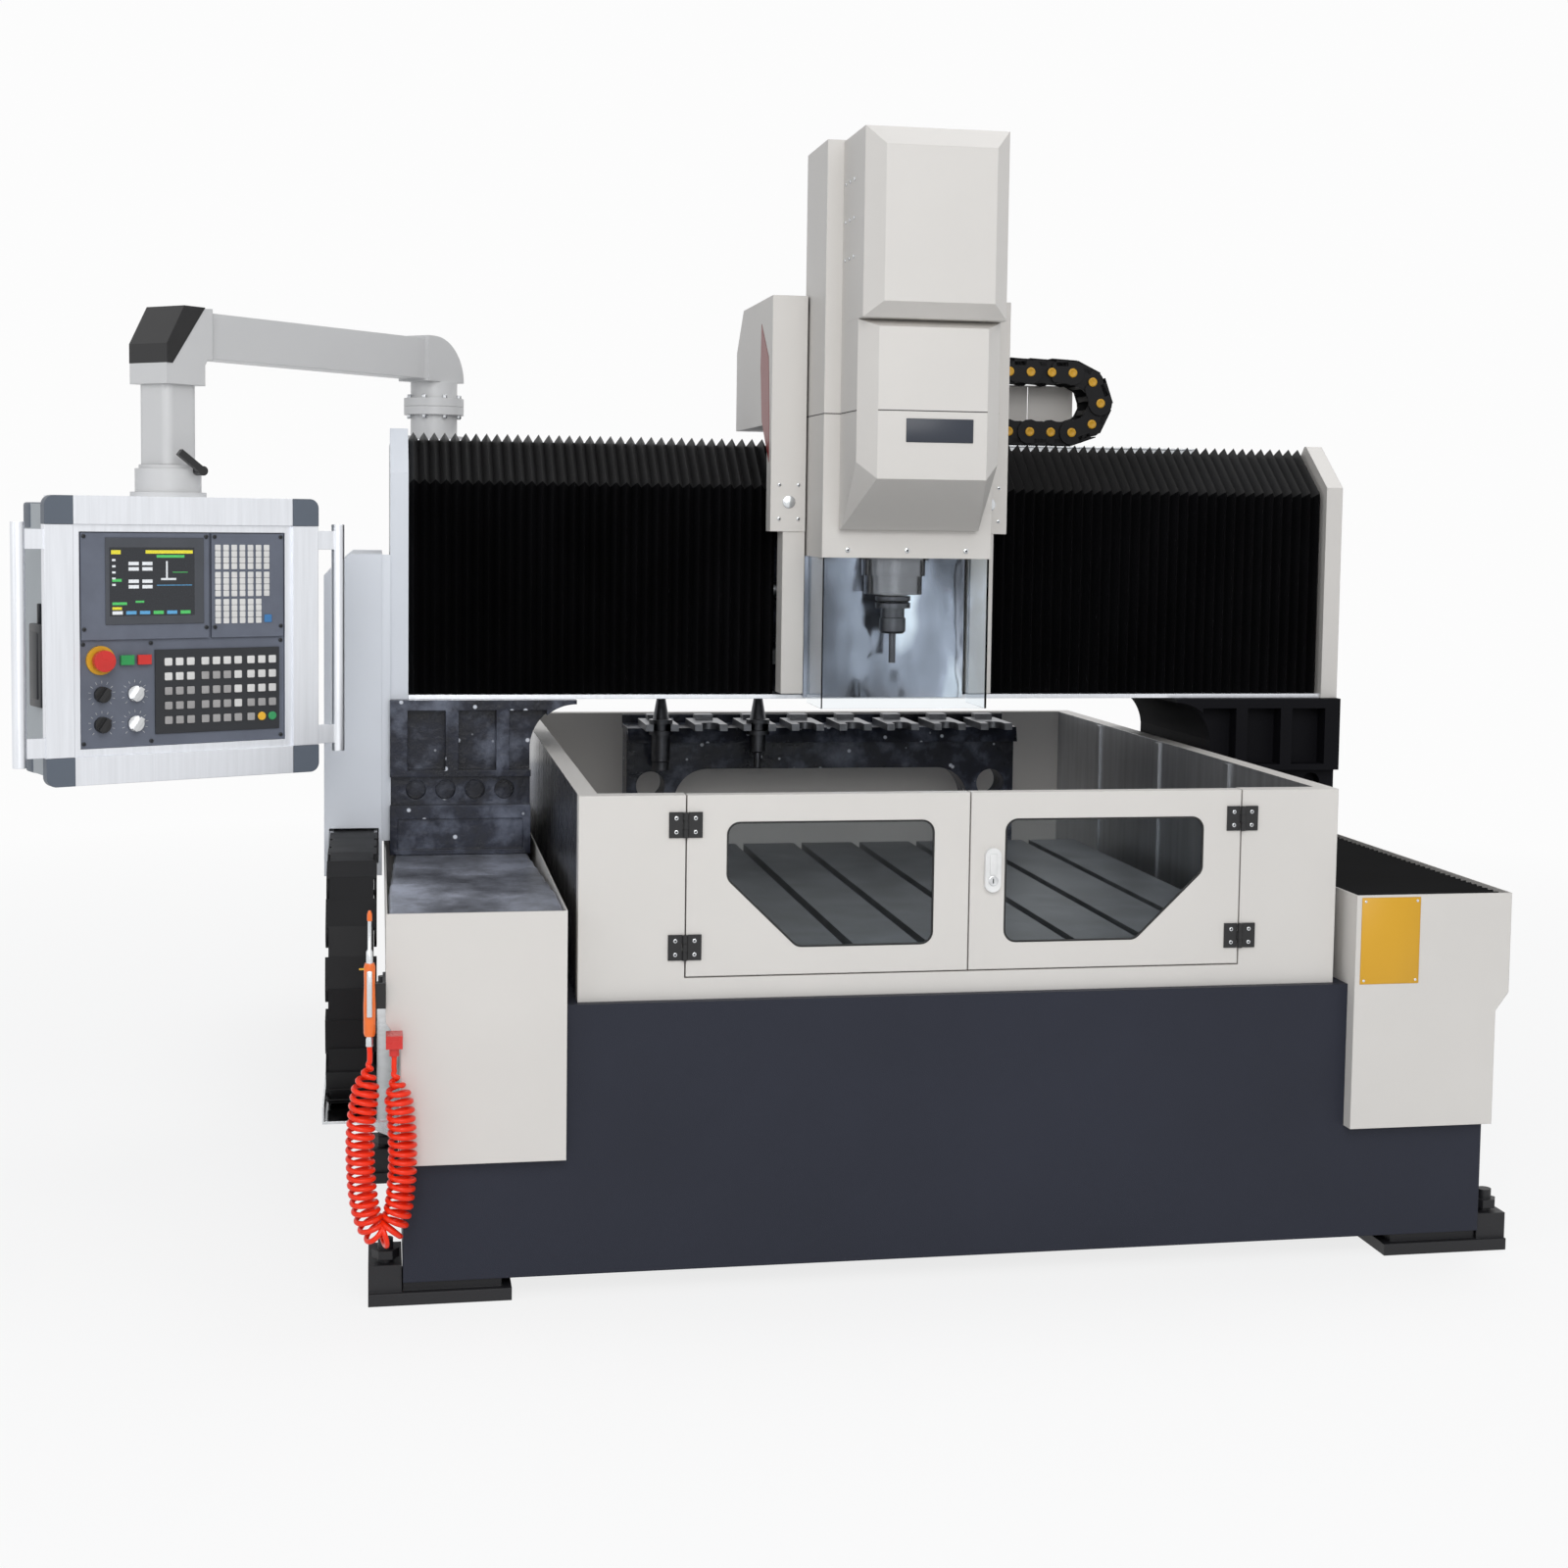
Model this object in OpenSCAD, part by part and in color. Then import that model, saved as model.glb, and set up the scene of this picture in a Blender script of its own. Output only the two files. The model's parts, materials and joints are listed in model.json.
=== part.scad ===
// Moving-gantry machining center: fixed table, gantry along Y, head along X, ram along Z.
// Origin: middle of the four corner anchor holes, on the floor. +X right, +Y back, +Z up. Millimetres.

/* [Bed] */
// Gap between the splash guard and each rail shoulder
rail_gap = 54; // [50:1:60]
// Length of the bed casting
bed_l = 2600; // [2500:10:2800]
// Height of the table seat above the floor
bed_top = 596; // [570:2:630]
// Gap under the casting, taken up by the feet
bed_gap = 46; // [38:1:60]
// Wall and rib thickness of the casting
bed_wall = 45; // [36:1:60]
// Width of each raised rail shoulder
shoulder_w = 290; // [280:1:300]
// Height of a rail shoulder above the table seat
shoulder_h = 104; // [90:1:120]

/* [Feet] */
// Feet on each side of the bed
foot_count = 4; // [3:1:5]
// Width of a foot along the bed
foot_w = 160; // [130:5:200]
// Reach of a foot under the bed
foot_reach = 215; // [180:5:260]
// Reach of a foot past the side of the bed
foot_ear = 68; // [60:1:90]
// Thickness of the foot's floor plate
foot_plate = 25; // [18:1:32]
// Height of the ear that carries the jack screw
ear_h = 80; // [70:1:95]
// Diameter of the anchor holes
anchor_d = 26; // [20:1:32]
// Thread diameter of the jack screws
jack_d = 30; // [20:1:36]

/* [Table] */
// Gap between the worktable and the guard's side walls
table_gap = 66; // [60:1:80]
// Length of the worktable
table_l = 1420; // [1300:10:1440]
// Thickness of the worktable
table_t = 94; // [80:1:110]
// Setback of the table from the front of the bed
table_inset = 66; // [64:1:90]
// Number of T-slots
slot_count = 8; // [6:1:8]
// Distance from the outer T-slots to the table's sides
slot_edge = 140; // [120:2:160]
// Width of a T-slot's neck
slot_neck = 22; // [18:1:28]
// Depth of a T-slot's neck
slot_lip = 24; // [18:1:30]
// Width of a T-slot's base
slot_base_w = 38; // [34:1:44]
// Height of a T-slot's base
slot_base_h = 18; // [14:1:22]

/* [Guard] */
// Width of the splash guard
guard_w = 1612; // [1580:2:1640]
// Room in the guard behind the middle of the tool rack
rack_room = 295; // [260:5:320]
// Height of the splash guard
guard_h = 416; // [390:2:440]
// Thickness of the guard's boxed walls
guard_t = 40; // [30:1:44]
// Setback of the guard from the front of the bed
guard_inset = 20; // [14:1:22]
// Sheet thickness of guard, doors and covers
sheet = 3; // [2:0.5:4]
// Width of the guard's front corner panels
corner_w = 215; // [190:1:240]
// Height of the sill under the doors
sill_h = 44; // [36:1:60]
// Width of a stiffening strip inside the guard
strip_w = 28; // [20:1:40]

/* [Doors] */
// Thickness of a door
door_t = 30; // [24:1:34]
// Gap round a door
door_gap = 3; // [2:0.5:5]
// Width of a door's frame at the hinge side
stile_hinge = 84; // [70:1:100]
// Width of a door's frame at the meeting side
stile_meet = 75; // [66:1:90]
// Height of a door's frame above and below the window
door_rail = 55; // [45:1:70]
// Sideways run of the window's slanted corner
slant_run = 146; // [120:1:170]
// Height of the window's slanted corner
slant_rise = 142; // [120:1:160]
// Corner radius of the window
window_r = 27; // [15:1:35]
// Thickness of the window pane
pane_t = 6; // [4:0.5:8]
// Height of a hinge
hinge_h = 52; // [40:1:64]
// Width of a hinge leaf
hinge_leaf = 28; // [22:1:32]
// Diameter of a hinge pin
hinge_pin = 6; // [5:0.5:7]
// Length of the latch handle
latch_l = 92; // [80:1:94]
// Width of the latch handle
latch_w = 34; // [28:1:40]

/* [Rail covers] */
// Stand-off of the end boxes from the front of the bed
box_front = 34; // [28:1:50]
// Height of the rail covers above the floor
cover_top = 792; // [790:1:810]
// Underside of the end boxes above the floor
box_low = 291; // [260:2:320]
// Depth of the end boxes beside the bed
box_depth = 300; // [240:5:340]
// Overhang of the covers past the side of the bed
cover_over = 34; // [30:1:40]
// Plates in each telescopic way cover
plate_count = 6; // [5:1:7]
// Distance between bellows folds on the way cover
low_pitch = 24; // [20:1:30]
// Depth of the way cover's bellows folds
low_fold = 20; // [14:1:24]

/* [Gantry] */
// Gantry centre behind the front of the bed, at rest
gantry_rest = 1120; // [1090:5:1160]
// Length of the columns along the bed
column_l = 600; // [560:5:640]
// Underside of the crossbeam above the floor
beam_low = 1136; // [1120:2:1150]
// Height of the crossbeam
beam_h = 599; // [590:1:610]
// Depth of the crossbeam
beam_d = 375; // [340:5:390]
// Wall thickness of the crossbeam
beam_wall = 45; // [35:1:55]
// Distance from the gantry's centre to the beam's front face
beam_ahead = 145; // [130:1:155]
// Overhang of the beam past the column at the inner side
gusset = 107; // [90:1:120]
// Height of rail and carriage on the bed
y_stack = 75; // [70:1:80]
// Width of the bed rails
y_rail_w = 45; // [40:1:50]
// Diameter of the Y ball screws
y_screw_d = 50; // [40:1:54]

/* [X axis] */
// Height of rail and carriage on the beam
x_stack = 68; // [62:1:72]
// Width of the beam rails
x_rail_w = 35; // [30:1:40]
// Distance between the beam rails
x_rail_span = 330; // [300:2:360]
// Diameter of the X ball screw
x_screw_d = 40; // [32:1:44]
// Distance between the X bellows folds
fold_pitch = 29; // [24:1:34]
// Depth of the X bellows folds
fold_depth = 26; // [18:1:28]
// Thickness of the bellows cloth
cloth = 2.4; // [2:0.1:4]
// Width of the bellows end plates
end_plate = 42; // [36:1:50]

/* [Head] */
// Width of the ram cover
ram_w = 400; // [390:2:406]
// Width of the head across the pillars
saddle_w = 516; // [510:2:524]
// Width of the head across the side covers
head_w = 578; // [560:2:600]
// Thickness of the saddle plate
saddle_t = 35; // [30:1:40]
// Top of the saddle covers above the floor
saddle_top = 2090; // [2070:2:2110]
// Underside of the saddle covers above the floor
saddle_low = 1537; // [1520:1:1560]
// Depth of the saddle covers behind the pillars' front
saddle_d = 520; // [480:5:530]
// Depth of the pillars in front of the saddle plate
pillar_d = 72; // [60:1:80]
// Height of rail and carriage on the saddle
z_stack = 34; // [32:1:40]

/* [Ram] */
// Top of the ram cover above the floor
ram_top = 2424; // [2400:2:2460]
// Underside of the ram cover above the floor
ram_low = 1480; // [1470:1:1500]
// Depth of the ram cover in front of the saddle plate
ram_d = 257; // [250:1:265]
// Width of the ram casting
slide_w = 300; // [280:2:320]
// Depth of the ram casting
slide_d = 178; // [172:1:184]
// Width of the head boxes
nose_w = 324; // [300:2:340]
// Depth of the upper head box in front of the ram cover
nose_d = 265; // [240:5:290]
// Share of the ram cover's height below the seam of the head boxes
seam_share = 0.56; // [0.5:0.01:0.6]
// Diameter of the spindle cartridge
spindle_d = 137; // [125:1:140]
// Underside of the spindle nose above the floor
spindle_low = 1393; // [1380:1:1410]
// Diameter of the spindle shaft
shaft_d = 70; // [60:1:78]
// Flange diameter of the tool holder
tool_d = 83; // [70:1:90]
// Tip of the tool above the floor
tool_tip = 1230; // [1200:1:1260]
// Lower edge of the clear curtain above the floor
curtain_low = 1132; // [1120:1:1150]

/* [Tool rack] */
// Gap between the worktable and the middle of the rack
rack_gap = 114; // [100:1:130]
// Width of the rack stand
rack_w = 1080; // [1060:5:1120]
// Height of the rack's tray above the floor
rack_top = 1000; // [980:1:1010]
// Number of tool forks
fork_count = 8; // [6:1:8]
// Distance between tool forks
fork_pitch = 131; // [120:1:134]
// Width of a fork's notch
fork_notch = 46; // [40:1:52]
// Height of the stand's arch above the table seat
arch_h = 290; // [260:2:310]

/* [Cable chains] */
// Height of a chain link
link_h = 66; // [56:1:72]
// Distance between link pins
link_pitch = 58; // [54:1:62]
// Width of a chain
link_w = 105; // [90:1:120]
// Bend radius of the X chain
x_bend_r = 79; // [72:1:90]
// Bend radius of the Y chain
y_bend_r = 236; // [225:1:245]
// Straight links in each run of the X chain
x_chain_links = 6; // [5:1:7]
// Straight links in the lower run of the Y chain
y_chain_links = 15; // [13:1:16]

/* [Pendant] */
// Distance from the left end of the beam to the arm's swivel
swivel_in = 106; // [90:1:120]
// Length of the arm between swivel and pendant post
arm_l = 857; // [820:1:900]
// Angle of the arm at rest, from straight ahead
arm_angle = 41.5; // [35:0.5:50]
// Height of the arm's tube
arm_h = 96; // [84:1:110]
// Middle of the arm above the floor
arm_z = 1938; // [1930:1:1950]
// Width of the pendant
pendant_w = 588; // [560:2:620]
// Height of the pendant
pendant_h = 588; // [570:1:610]
// Depth of the pendant
pendant_d = 180; // [164:1:200]
// Distance from the post's axis to the pendant's face
face_off = 100; // [92:1:108]
// Underside of the pendant above the floor
pendant_low = 1008; // [996:1:1020]
// Width of the pendant's frame bars
frame_bar = 73; // [66:1:80]
// Width of the frame's corner pieces
corner_piece = 58; // [50:1:64]
// Angle of the pendant at rest
pendant_angle = 26; // [10:1:30]
// Width of the pendant's square post
post_w = 88; // [80:1:96]
// Diameter of the emergency stop's head
estop_d = 44; // [40:1:48]
// Diameter of the knobs
knob_d = 33; // [28:1:36]
// Width of the push buttons
button_w = 28; // [24:1:32]
// Height of the push buttons
button_h = 20; // [18:1:24]

/* [Air gun] */
// Outer diameter of the curly hose
coil_d = 53; // [45:1:60]
// Length of the gun's handle
gun_l = 165; // [150:1:180]

/* [Hidden] */
$fn = 48;

// Clearances
slip = 0.5;      // between pieces that slide or turn
seat = 0.3;      // between pieces that are seated on each other
eps = 1;         // overshoot of a cut

// Bed and table
front = -bed_l / 2;
rear = bed_l / 2;
guard_x = guard_w / 2;
bed_x = guard_x + rail_gap + shoulder_w;
bed_w = 2 * bed_x;
shoulder_top = bed_top + shoulder_h;
shoulder_x = bed_x - shoulder_w;
pocket_nx = 7;
pocket_ny = 8;
table_top = bed_top + table_t;
table_w = guard_w - 2 * (guard_t + table_gap);
slot_pitch = (table_w - 2 * slot_edge) / (slot_count - 1);
table_y0 = front + table_inset;
anchor_x = bed_x + foot_ear / 2;
anchor_off = foot_w / 4;
foot_y = bed_l / 2 - foot_w / 2;

// Guard and doors
rack_y = table_y0 + table_l + rack_gap;
guard_y0 = front + guard_inset;
guard_y1 = rack_y + rack_room;
guard_top = bed_top + guard_h;
hinge_x = guard_x - corner_w;
door_z0 = bed_top + sill_h + door_gap;
hinge_t = 4;
hinge_off = 6;
knuckle_d = hinge_pin + 5;
hinge_y = guard_y0 - hinge_off;
leaf_gap = knuckle_d / 2 + slip;
hinge_zs = [door_z0 + 34, guard_top - 34 - hinge_h];
window_z = [door_z0 + door_rail, guard_top - door_rail];
latch_x = stile_meet / 2 + 10;
latch_z = (door_z0 + guard_top) / 2 + 24;
latch_shaft = 14;

// Rail covers
lip_in = guard_x + 25;
lip_out = bed_x + cover_over;
box_y0 = front - box_front;
box_step = lip_out - bed_x - sheet - 2;
step_z = [bed_top - 59, bed_top - 19];
lip_low = bed_top + 44;
way_x = [lip_in + sheet + 3, lip_out - sheet - 3];

// Gantry
gantry_y = front + gantry_rest;
column_y = [gantry_y - column_l / 2, gantry_y + column_l / 2];
column_z = shoulder_top + y_stack;
y_travel = [-530, 570];
column_x = [lip_in + sheet + 13, lip_out - sheet - 9];
beam_y = gantry_y - beam_ahead;
beam_y1 = beam_y + beam_d;
beam_top = beam_low + beam_h;
beam_x = column_x[1];
y_rail_h = 40;
y_rail_in = 50;
y_rail_end = 60;
y_rails = [shoulder_x + y_rail_in, bed_x - y_rail_in];
y_screw_x = (y_rails[0] + y_rails[1]) / 2;
y_screw_z = shoulder_top + 38;
block_l = 120;
bracket_w = 150;
bracket_up = 40;

// X axis
x_rail_h = 30;
x_rail_zs = [beam_low + 94, beam_low + 94 + x_rail_span];
x_screw_z = (x_rail_zs[0] + x_rail_zs[1]) / 2;
x_screw_y = beam_y - 44;
saddle_y1 = beam_y - x_stack;
saddle_y = saddle_y1 - saddle_t;
fold_y1 = saddle_y1 - 22;
fold_y = fold_y1 - fold_depth;
bend_z = beam_low + 512;
bar_top = beam_low + 10;
bar_front = fold_y - 6;
top_bar_y = fold_y + 164;
slant = 52;
slant_l = 172;
bellows_x = [saddle_w / 2 + 5, beam_x - end_plate];

// Head
head_x = head_w / 2;
side_gap = 5;
pillar_x = [ram_w / 2 + side_gap, saddle_w / 2];
x_travel = column_x[0] - gusset - ram_w / 2 - side_gap;
pillar_y = saddle_y - pillar_d;
saddle_z = [bar_top + 6, saddle_top - 45];
over_beam = beam_top + 55;
saddle_back = pillar_y + saddle_d;
z_rail_x = 110;
z_rail_w = 24;
z_rail_h = 26;
z_screw_d = 25;
z_screw_y = saddle_y - z_stack / 2;
z_groove = 15;

// Ram
slide_y1 = saddle_y - z_stack;
slide_y = slide_y1 - slide_d;
motor_room = 364;
slide_z = [ram_low + 20, ram_top - motor_room];
slide_h = slide_z[1] - slide_z[0];
bore_top = slide_z[0] + slide_h * 0.43;
spindle_y = slide_y + 90;
cover_y = saddle_y - ram_d;
cover_y1 = bar_front - 2;
nose_seam = ram_low + seam_share * (ram_top - ram_low);
motor_w = 160;
nose_x = nose_w / 2;
collar_d = spindle_d + 30;
curtain_t = 4;
shaft_low = spindle_low - 3;

// Rack
stand_d = 100;
rack_leg = 130;
tray_d = 150;
tray_t = 12;
fork_t = 18;

// Chains
lid = 4;
link_out = link_h / 2 + lid;
x_chain_y = beam_y1 + 40;
x_chain_z = beam_top + 38 + link_h / 2;
x_chain_x = 620;
chain_end = x_chain_x - x_chain_links * link_pitch;
y_chain_x = lip_out + 70;
y_chain_z = cover_top + 3 - 2 * y_bend_r;
chain_mouth = column_y[0] + 20;
y_chain_y = chain_mouth - 331;
y_chain_back = ceil((chain_mouth - y_chain_y) / link_pitch);
chain_stop = y_chain_y + y_chain_back * link_pitch;
tray_low = y_chain_z - link_out;

// Pendant
swivel_x = beam_x - swivel_in;
swivel_y = gantry_y;
swivel_z = beam_top + 91;
swivel_d = 112;
flange_d = 144;
flange_t = 20;
post_x = -swivel_x - arm_l * sin(arm_angle);
post_y = swivel_y - arm_l * cos(arm_angle);
pendant_top = pendant_low + pendant_h;
collar_top = pendant_top + 67;
collar_r = 68;
elbow_w = post_w + 20;
lever_x = 40;
lever_z = collar_top - 12;
face_y = -face_off;
rear_y = pendant_d - face_off;
case_in = 17;
recess = 15.5;
panel_y = face_y + recess;
panel_w = pendant_w - 2 * frame_bar;
panel_h = pendant_h - 2 * frame_bar;
panel_x0 = -panel_w / 2;
panel_z0 = pendant_low + frame_bar;
bezel = 8;
stem_d = 11;
estop_at = [panel_x0 + 43, panel_z0 + 180];
start_at = [panel_x0 + 96, panel_z0 + 180];
stop_at = [panel_x0 + 132, panel_z0 + 180];
knob_ats = [[panel_x0 + 46, panel_z0 + 110], [panel_x0 + 46, panel_z0 + 48],
    [panel_x0 + 115, panel_z0 + 110], [panel_x0 + 115, panel_z0 + 48]];
screen_x = [panel_x0 + 2, panel_x0 + 272];
field_z = panel_z0 + 222;
keys_x0 = panel_x0 + 157;

// Air gun: hook and socket stand on a bracket beside the left end box
gun_x = -lip_out - 31;
gun_z = 540;
grip_d = 24;
socket_x = -lip_out + 16;
socket_z = 520;
hose_y = box_y0 - 30;
hose_drops = [[gun_x, 0], [gun_x, 30], [gun_x - 7, 80], [gun_x - 15, 140], [gun_x - 18, 190],
    [gun_x - 17, 240], [gun_x - 13, 290], [gun_x - 4, 335], [gun_x + 11, 366], [socket_x - 20, 372],
    [socket_x - 4, 360], [socket_x + 7, 328], [socket_x + 13, 285], [socket_x + 16, 240],
    [socket_x + 16, 190], [socket_x + 13, 140], [socket_x + 6, 90], [socket_x, 50],
    [socket_x, gun_z - socket_z]];
hose_route = [for (p = hose_drops) [p[0], hose_y, gun_z - p[1]]];

// Box between two corners, given as a low and a high value on each axis
module block(x, y, z) {
    translate([x[0], y[0], z[0]]) cube([x[1] - x[0], y[1] - y[0], z[1] - z[0]]);
}

// Outline in Y and Z, drawn out along X
module side_prism(x, points) {
    translate([x[0], 0, 0]) rotate([90, 0, 90]) linear_extrude(x[1] - x[0]) polygon(points);
}

// Outline in X and Z, drawn out along Y
module front_prism(y, points) {
    translate([0, y[1], 0]) rotate([90, 0, 0]) linear_extrude(y[1] - y[0]) polygon(points);
}

// Upright round bar
module post(x, y, z, d) {
    translate([x, y, z[0]]) cylinder(h = z[1] - z[0], d = d);
}

// Round bar along Y
module bar_y(x, y, z, d) {
    translate([x, y[0], z]) rotate([-90, 0, 0]) cylinder(h = y[1] - y[0], d = d);
}

// Round bar along X
module bar_x(x, y, z, d) {
    translate([x[0], y, z]) rotate([0, 90, 0]) cylinder(h = x[1] - x[0], d = d);
}

module both_sides() {
    children();
    mirror([1, 0, 0]) children();
}

// Section of a profiled rail of width w and height h, standing on the line y = 0
module rail_section(w, h) {
    waist = w * 0.3;
    polygon([[-w / 2, 0], [w / 2, 0], [w / 2, h * 0.35], [waist, h * 0.55], [w / 2, h * 0.75], [w / 2, h],
        [-w / 2, h], [-w / 2, h * 0.75], [-waist, h * 0.55], [-w / 2, h * 0.35]]);
}

// Square motor with its axis along +Z: flange, body and end cap
module motor(w, l) {
    translate([-w / 2, -w / 2, 0]) cube([w, w, 18]);
    translate([-w * 0.46, -w * 0.46, 18]) cube([w * 0.92, w * 0.92, l - 58]);
    translate([0, 0, l - 40]) cylinder(h = 40, d = w * 0.8);
}

// Zigzag strip of n folds from x0 to x1 between y0 and y1
module zigzag(x0, x1, y0, y1, pitch, t) {
    n = max(2, round((x1 - x0) / pitch));
    step = (x1 - x0) / n;
    half = [for (i = [0 : 2 * n]) [x0 + i * step / 2, i % 2 == 0 ? y1 - t : y0]];
    back = [for (i = [2 * n : -1 : 0]) [x0 + i * step / 2, i % 2 == 0 ? y1 : y0 + t]];
    polygon(concat(half, back));
}

module bed_casting() {
    pitch_x = (bed_w - bed_wall) / pocket_nx;
    pitch_y = (bed_l - bed_wall) / pocket_ny;
    color("#30343f") difference() {
        front_prism([front, rear], [[-bed_x, bed_gap], [bed_x, bed_gap], [bed_x, shoulder_top],
            [shoulder_x, shoulder_top], [shoulder_x, bed_top], [-shoulder_x, bed_top],
            [-shoulder_x, shoulder_top], [-bed_x, shoulder_top]]);
        for (i = [0 : pocket_nx - 1], j = [0 : pocket_ny - 1])
            translate([-bed_x + bed_wall + i * pitch_x, front + bed_wall + j * pitch_y, bed_gap - eps])
                cube([pitch_x - bed_wall, pitch_y - bed_wall, bed_top - bed_wall - bed_gap + eps]);
    }
}

module worktable() {
    slot_x0 = -(slot_count - 1) * slot_pitch / 2;
    color("#80848a") difference() {
        block([-table_w / 2, table_w / 2], [table_y0, table_y0 + table_l], [bed_top, table_top]);
        for (i = [0 : slot_count - 1])
            translate([slot_x0 + i * slot_pitch, 0, 0]) {
                block([-slot_neck / 2, slot_neck / 2], [table_y0 - eps, table_y0 + table_l + eps],
                    [table_top - slot_lip - eps, table_top + eps]);
                block([-slot_base_w / 2, slot_base_w / 2], [table_y0 - eps, table_y0 + table_l + eps],
                    [table_top - slot_lip - slot_base_h, table_top - slot_lip]);
            }
    }
}

// Foot on the right side: floor plate, riser under the casting, drilled ear and jack screw
module foot() {
    head_h = 18;
    color("#1b1c20") {
        difference() {
            union() {
                block([bed_x - foot_reach, bed_x + foot_ear], [-foot_w / 2, foot_w / 2], [0, foot_plate]);
                block([bed_x - foot_reach + 20, bed_x], [-foot_w / 2 + 15, foot_w / 2 - 15],
                    [foot_plate, bed_gap]);
                block([bed_x + 2, bed_x + foot_ear], [-foot_w / 2 + 8, foot_w / 2 - 8],
                    [foot_plate, ear_h]);
            }
            post(anchor_x, anchor_off, [-eps, ear_h + eps], anchor_d);
        }
        post(anchor_x, -anchor_off, [ear_h, ear_h + 46], jack_d);
        translate([anchor_x, -anchor_off, ear_h + 8]) cylinder(h = head_h, d = jack_d * 1.8, $fn = 6);
    }
}

module levelling_feet() {
    pitch = 2 * foot_y / (foot_count - 1);
    both_sides()
        for (i = [0 : foot_count - 1])
            translate([0, -foot_y + i * pitch, 0])
                mirror([0, i < foot_count / 2 ? 0 : 1, 0]) foot();
}

module y_axis_drive() {
    rail_y = [front + y_rail_end, rear - y_rail_end];
    bearing_l = 60;
    color("#a9adb2") both_sides() {
        for (x = y_rails)
            translate([x, rail_y[1], shoulder_top]) rotate([90, 0, 0])
                linear_extrude(rail_y[1] - rail_y[0]) rail_section(y_rail_w, y_rail_h);
        bar_y(y_screw_x, [rail_y[0], rear], y_screw_z, y_screw_d);
        for (y = [rail_y[0], rail_y[1] - bearing_l])
            block([y_screw_x - 48, y_screw_x + 48], [y, y + bearing_l], [shoulder_top, y_screw_z + 28]);
        block([y_screw_x - bracket_w / 2, y_screw_x + bracket_w / 2], [rear, rear + 40],
            [y_screw_z - 140, y_screw_z + bracket_up]);
        translate([y_screw_x, rear + 40, y_screw_z - 50]) rotate([-90, 0, 0]) motor(130, 230);
    }
}

// Boxed wall, open underneath
module boxed_wall(x, y, z) {
    difference() {
        block(x, y, z);
        block([x[0] + sheet, x[1] - sheet], [y[0] + sheet, y[1] - sheet], [z[0] - eps, z[1] - sheet]);
    }
}

module guard_walls() {
    side_y = [guard_y0 + guard_t, guard_y1];
    strip_t = 5;
    strip_ys = [for (k = [1 : 3]) side_y[0] + k * (guard_y1 - guard_y0) / 4];
    color("#d6d2ce") {
        both_sides() {
            boxed_wall([guard_x - guard_t, guard_x], side_y, [bed_top, guard_top]);
            for (y = strip_ys)
                block([guard_x - guard_t - strip_t, guard_x - guard_t], [y, y + strip_w],
                    [bed_top, guard_top - strip_t]);
        }
        boxed_wall([-guard_x + guard_t, guard_x - guard_t], [guard_y1 - guard_t, guard_y1],
            [bed_top, guard_top]);
    }
}

module guard_front() {
    y = [guard_y0, guard_y0 + guard_t];
    color("#d6d2ce") {
        both_sides() boxed_wall([hinge_x, guard_x], y, [bed_top, guard_top]);
        boxed_wall([-hinge_x, hinge_x], y, [bed_top, bed_top + sill_h]);
    }
}

// Half of a right-hand hinge, at its lower edge: the frame's leaf (side = 1) or the door's leaf (side = -1)
module hinge_leaf(side) {
    third = hinge_h / 3;
    knuckles = side > 0 ? [0, 2] : [1];
    translate([hinge_x, 0, 0]) mirror([side > 0 ? 0 : 1, 0, 0]) difference() {
        union() {
            block([leaf_gap, leaf_gap + hinge_leaf], [guard_y0 - hinge_t, guard_y0], [0, hinge_h]);
            for (k = knuckles) {
                z = [k * third + slip / 2, (k + 1) * third - slip / 2];
                post(0, hinge_y, z, knuckle_d);
                block([0, leaf_gap + eps], [hinge_y, guard_y0 - eps], z);
            }
        }
        post(0, hinge_y, [-eps, hinge_h + eps], hinge_pin + slip / 2);
    }
}

module hinge_leaves() {
    color("#16171a") both_sides()
        for (z = hinge_zs)
            translate([0, 0, z]) {
                hinge_leaf(1);
                post(hinge_x, hinge_y, [0, hinge_h], hinge_pin);
            }
}

// Outline of the right door's window, grown by g
module window_outline(g) {
    x = [stile_meet - g, hinge_x - stile_hinge + g];
    z = [window_z[0] - g, window_z[1] + g];
    r = window_r + g;
    offset_points = [[x[0], z[0]], [x[1] - slant_run, z[0]], [x[1], z[0] + slant_rise], [x[1], z[1]],
        [x[0], z[1]]];
    round_corners(offset_points, r);
}

// Convex polygon with rounded corners: the polygon pulled in, with a disc run round it
module round_corners(points, r) {
    offset(r = r, $fn = 32) offset(delta = -r) polygon(points);
}

module door_panel() {
    x = [door_gap / 2, hinge_x - door_gap];
    y = [guard_y0, guard_y0 + door_t];
    edge = 14;
    difference() {
        block(x, y, [door_z0, guard_top]);
        block([x[0] + edge, x[1] - edge], [y[0] + sheet, y[1] + eps], [door_z0 + edge, guard_top - edge]);
        translate([0, y[1], 0]) rotate([90, 0, 0]) linear_extrude(door_t + eps) window_outline(0);
    }
    for (z = hinge_zs)
        translate([0, 0, z]) hinge_leaf(-1);
}

module window_pane() {
    lap = 12;
    y = guard_y0 + sheet;
    translate([0, y + pane_t, 0]) rotate([90, 0, 0]) linear_extrude(pane_t) window_outline(lap);
}

module door_right() {
    color("#d6d2ce") difference() {
        door_panel();
        bar_y(latch_x, [guard_y0 - eps, guard_y0 + sheet + eps], latch_z, latch_shaft + 2 * slip);
    }
}

module door_left() {
    color("#d6d2ce") mirror([1, 0, 0]) door_panel();
}

module window_right() {
    color([0.75, 0.82, 0.85, 0.4]) window_pane();
}

module window_left() {
    color([0.75, 0.82, 0.85, 0.4]) mirror([1, 0, 0]) window_pane();
}

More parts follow.
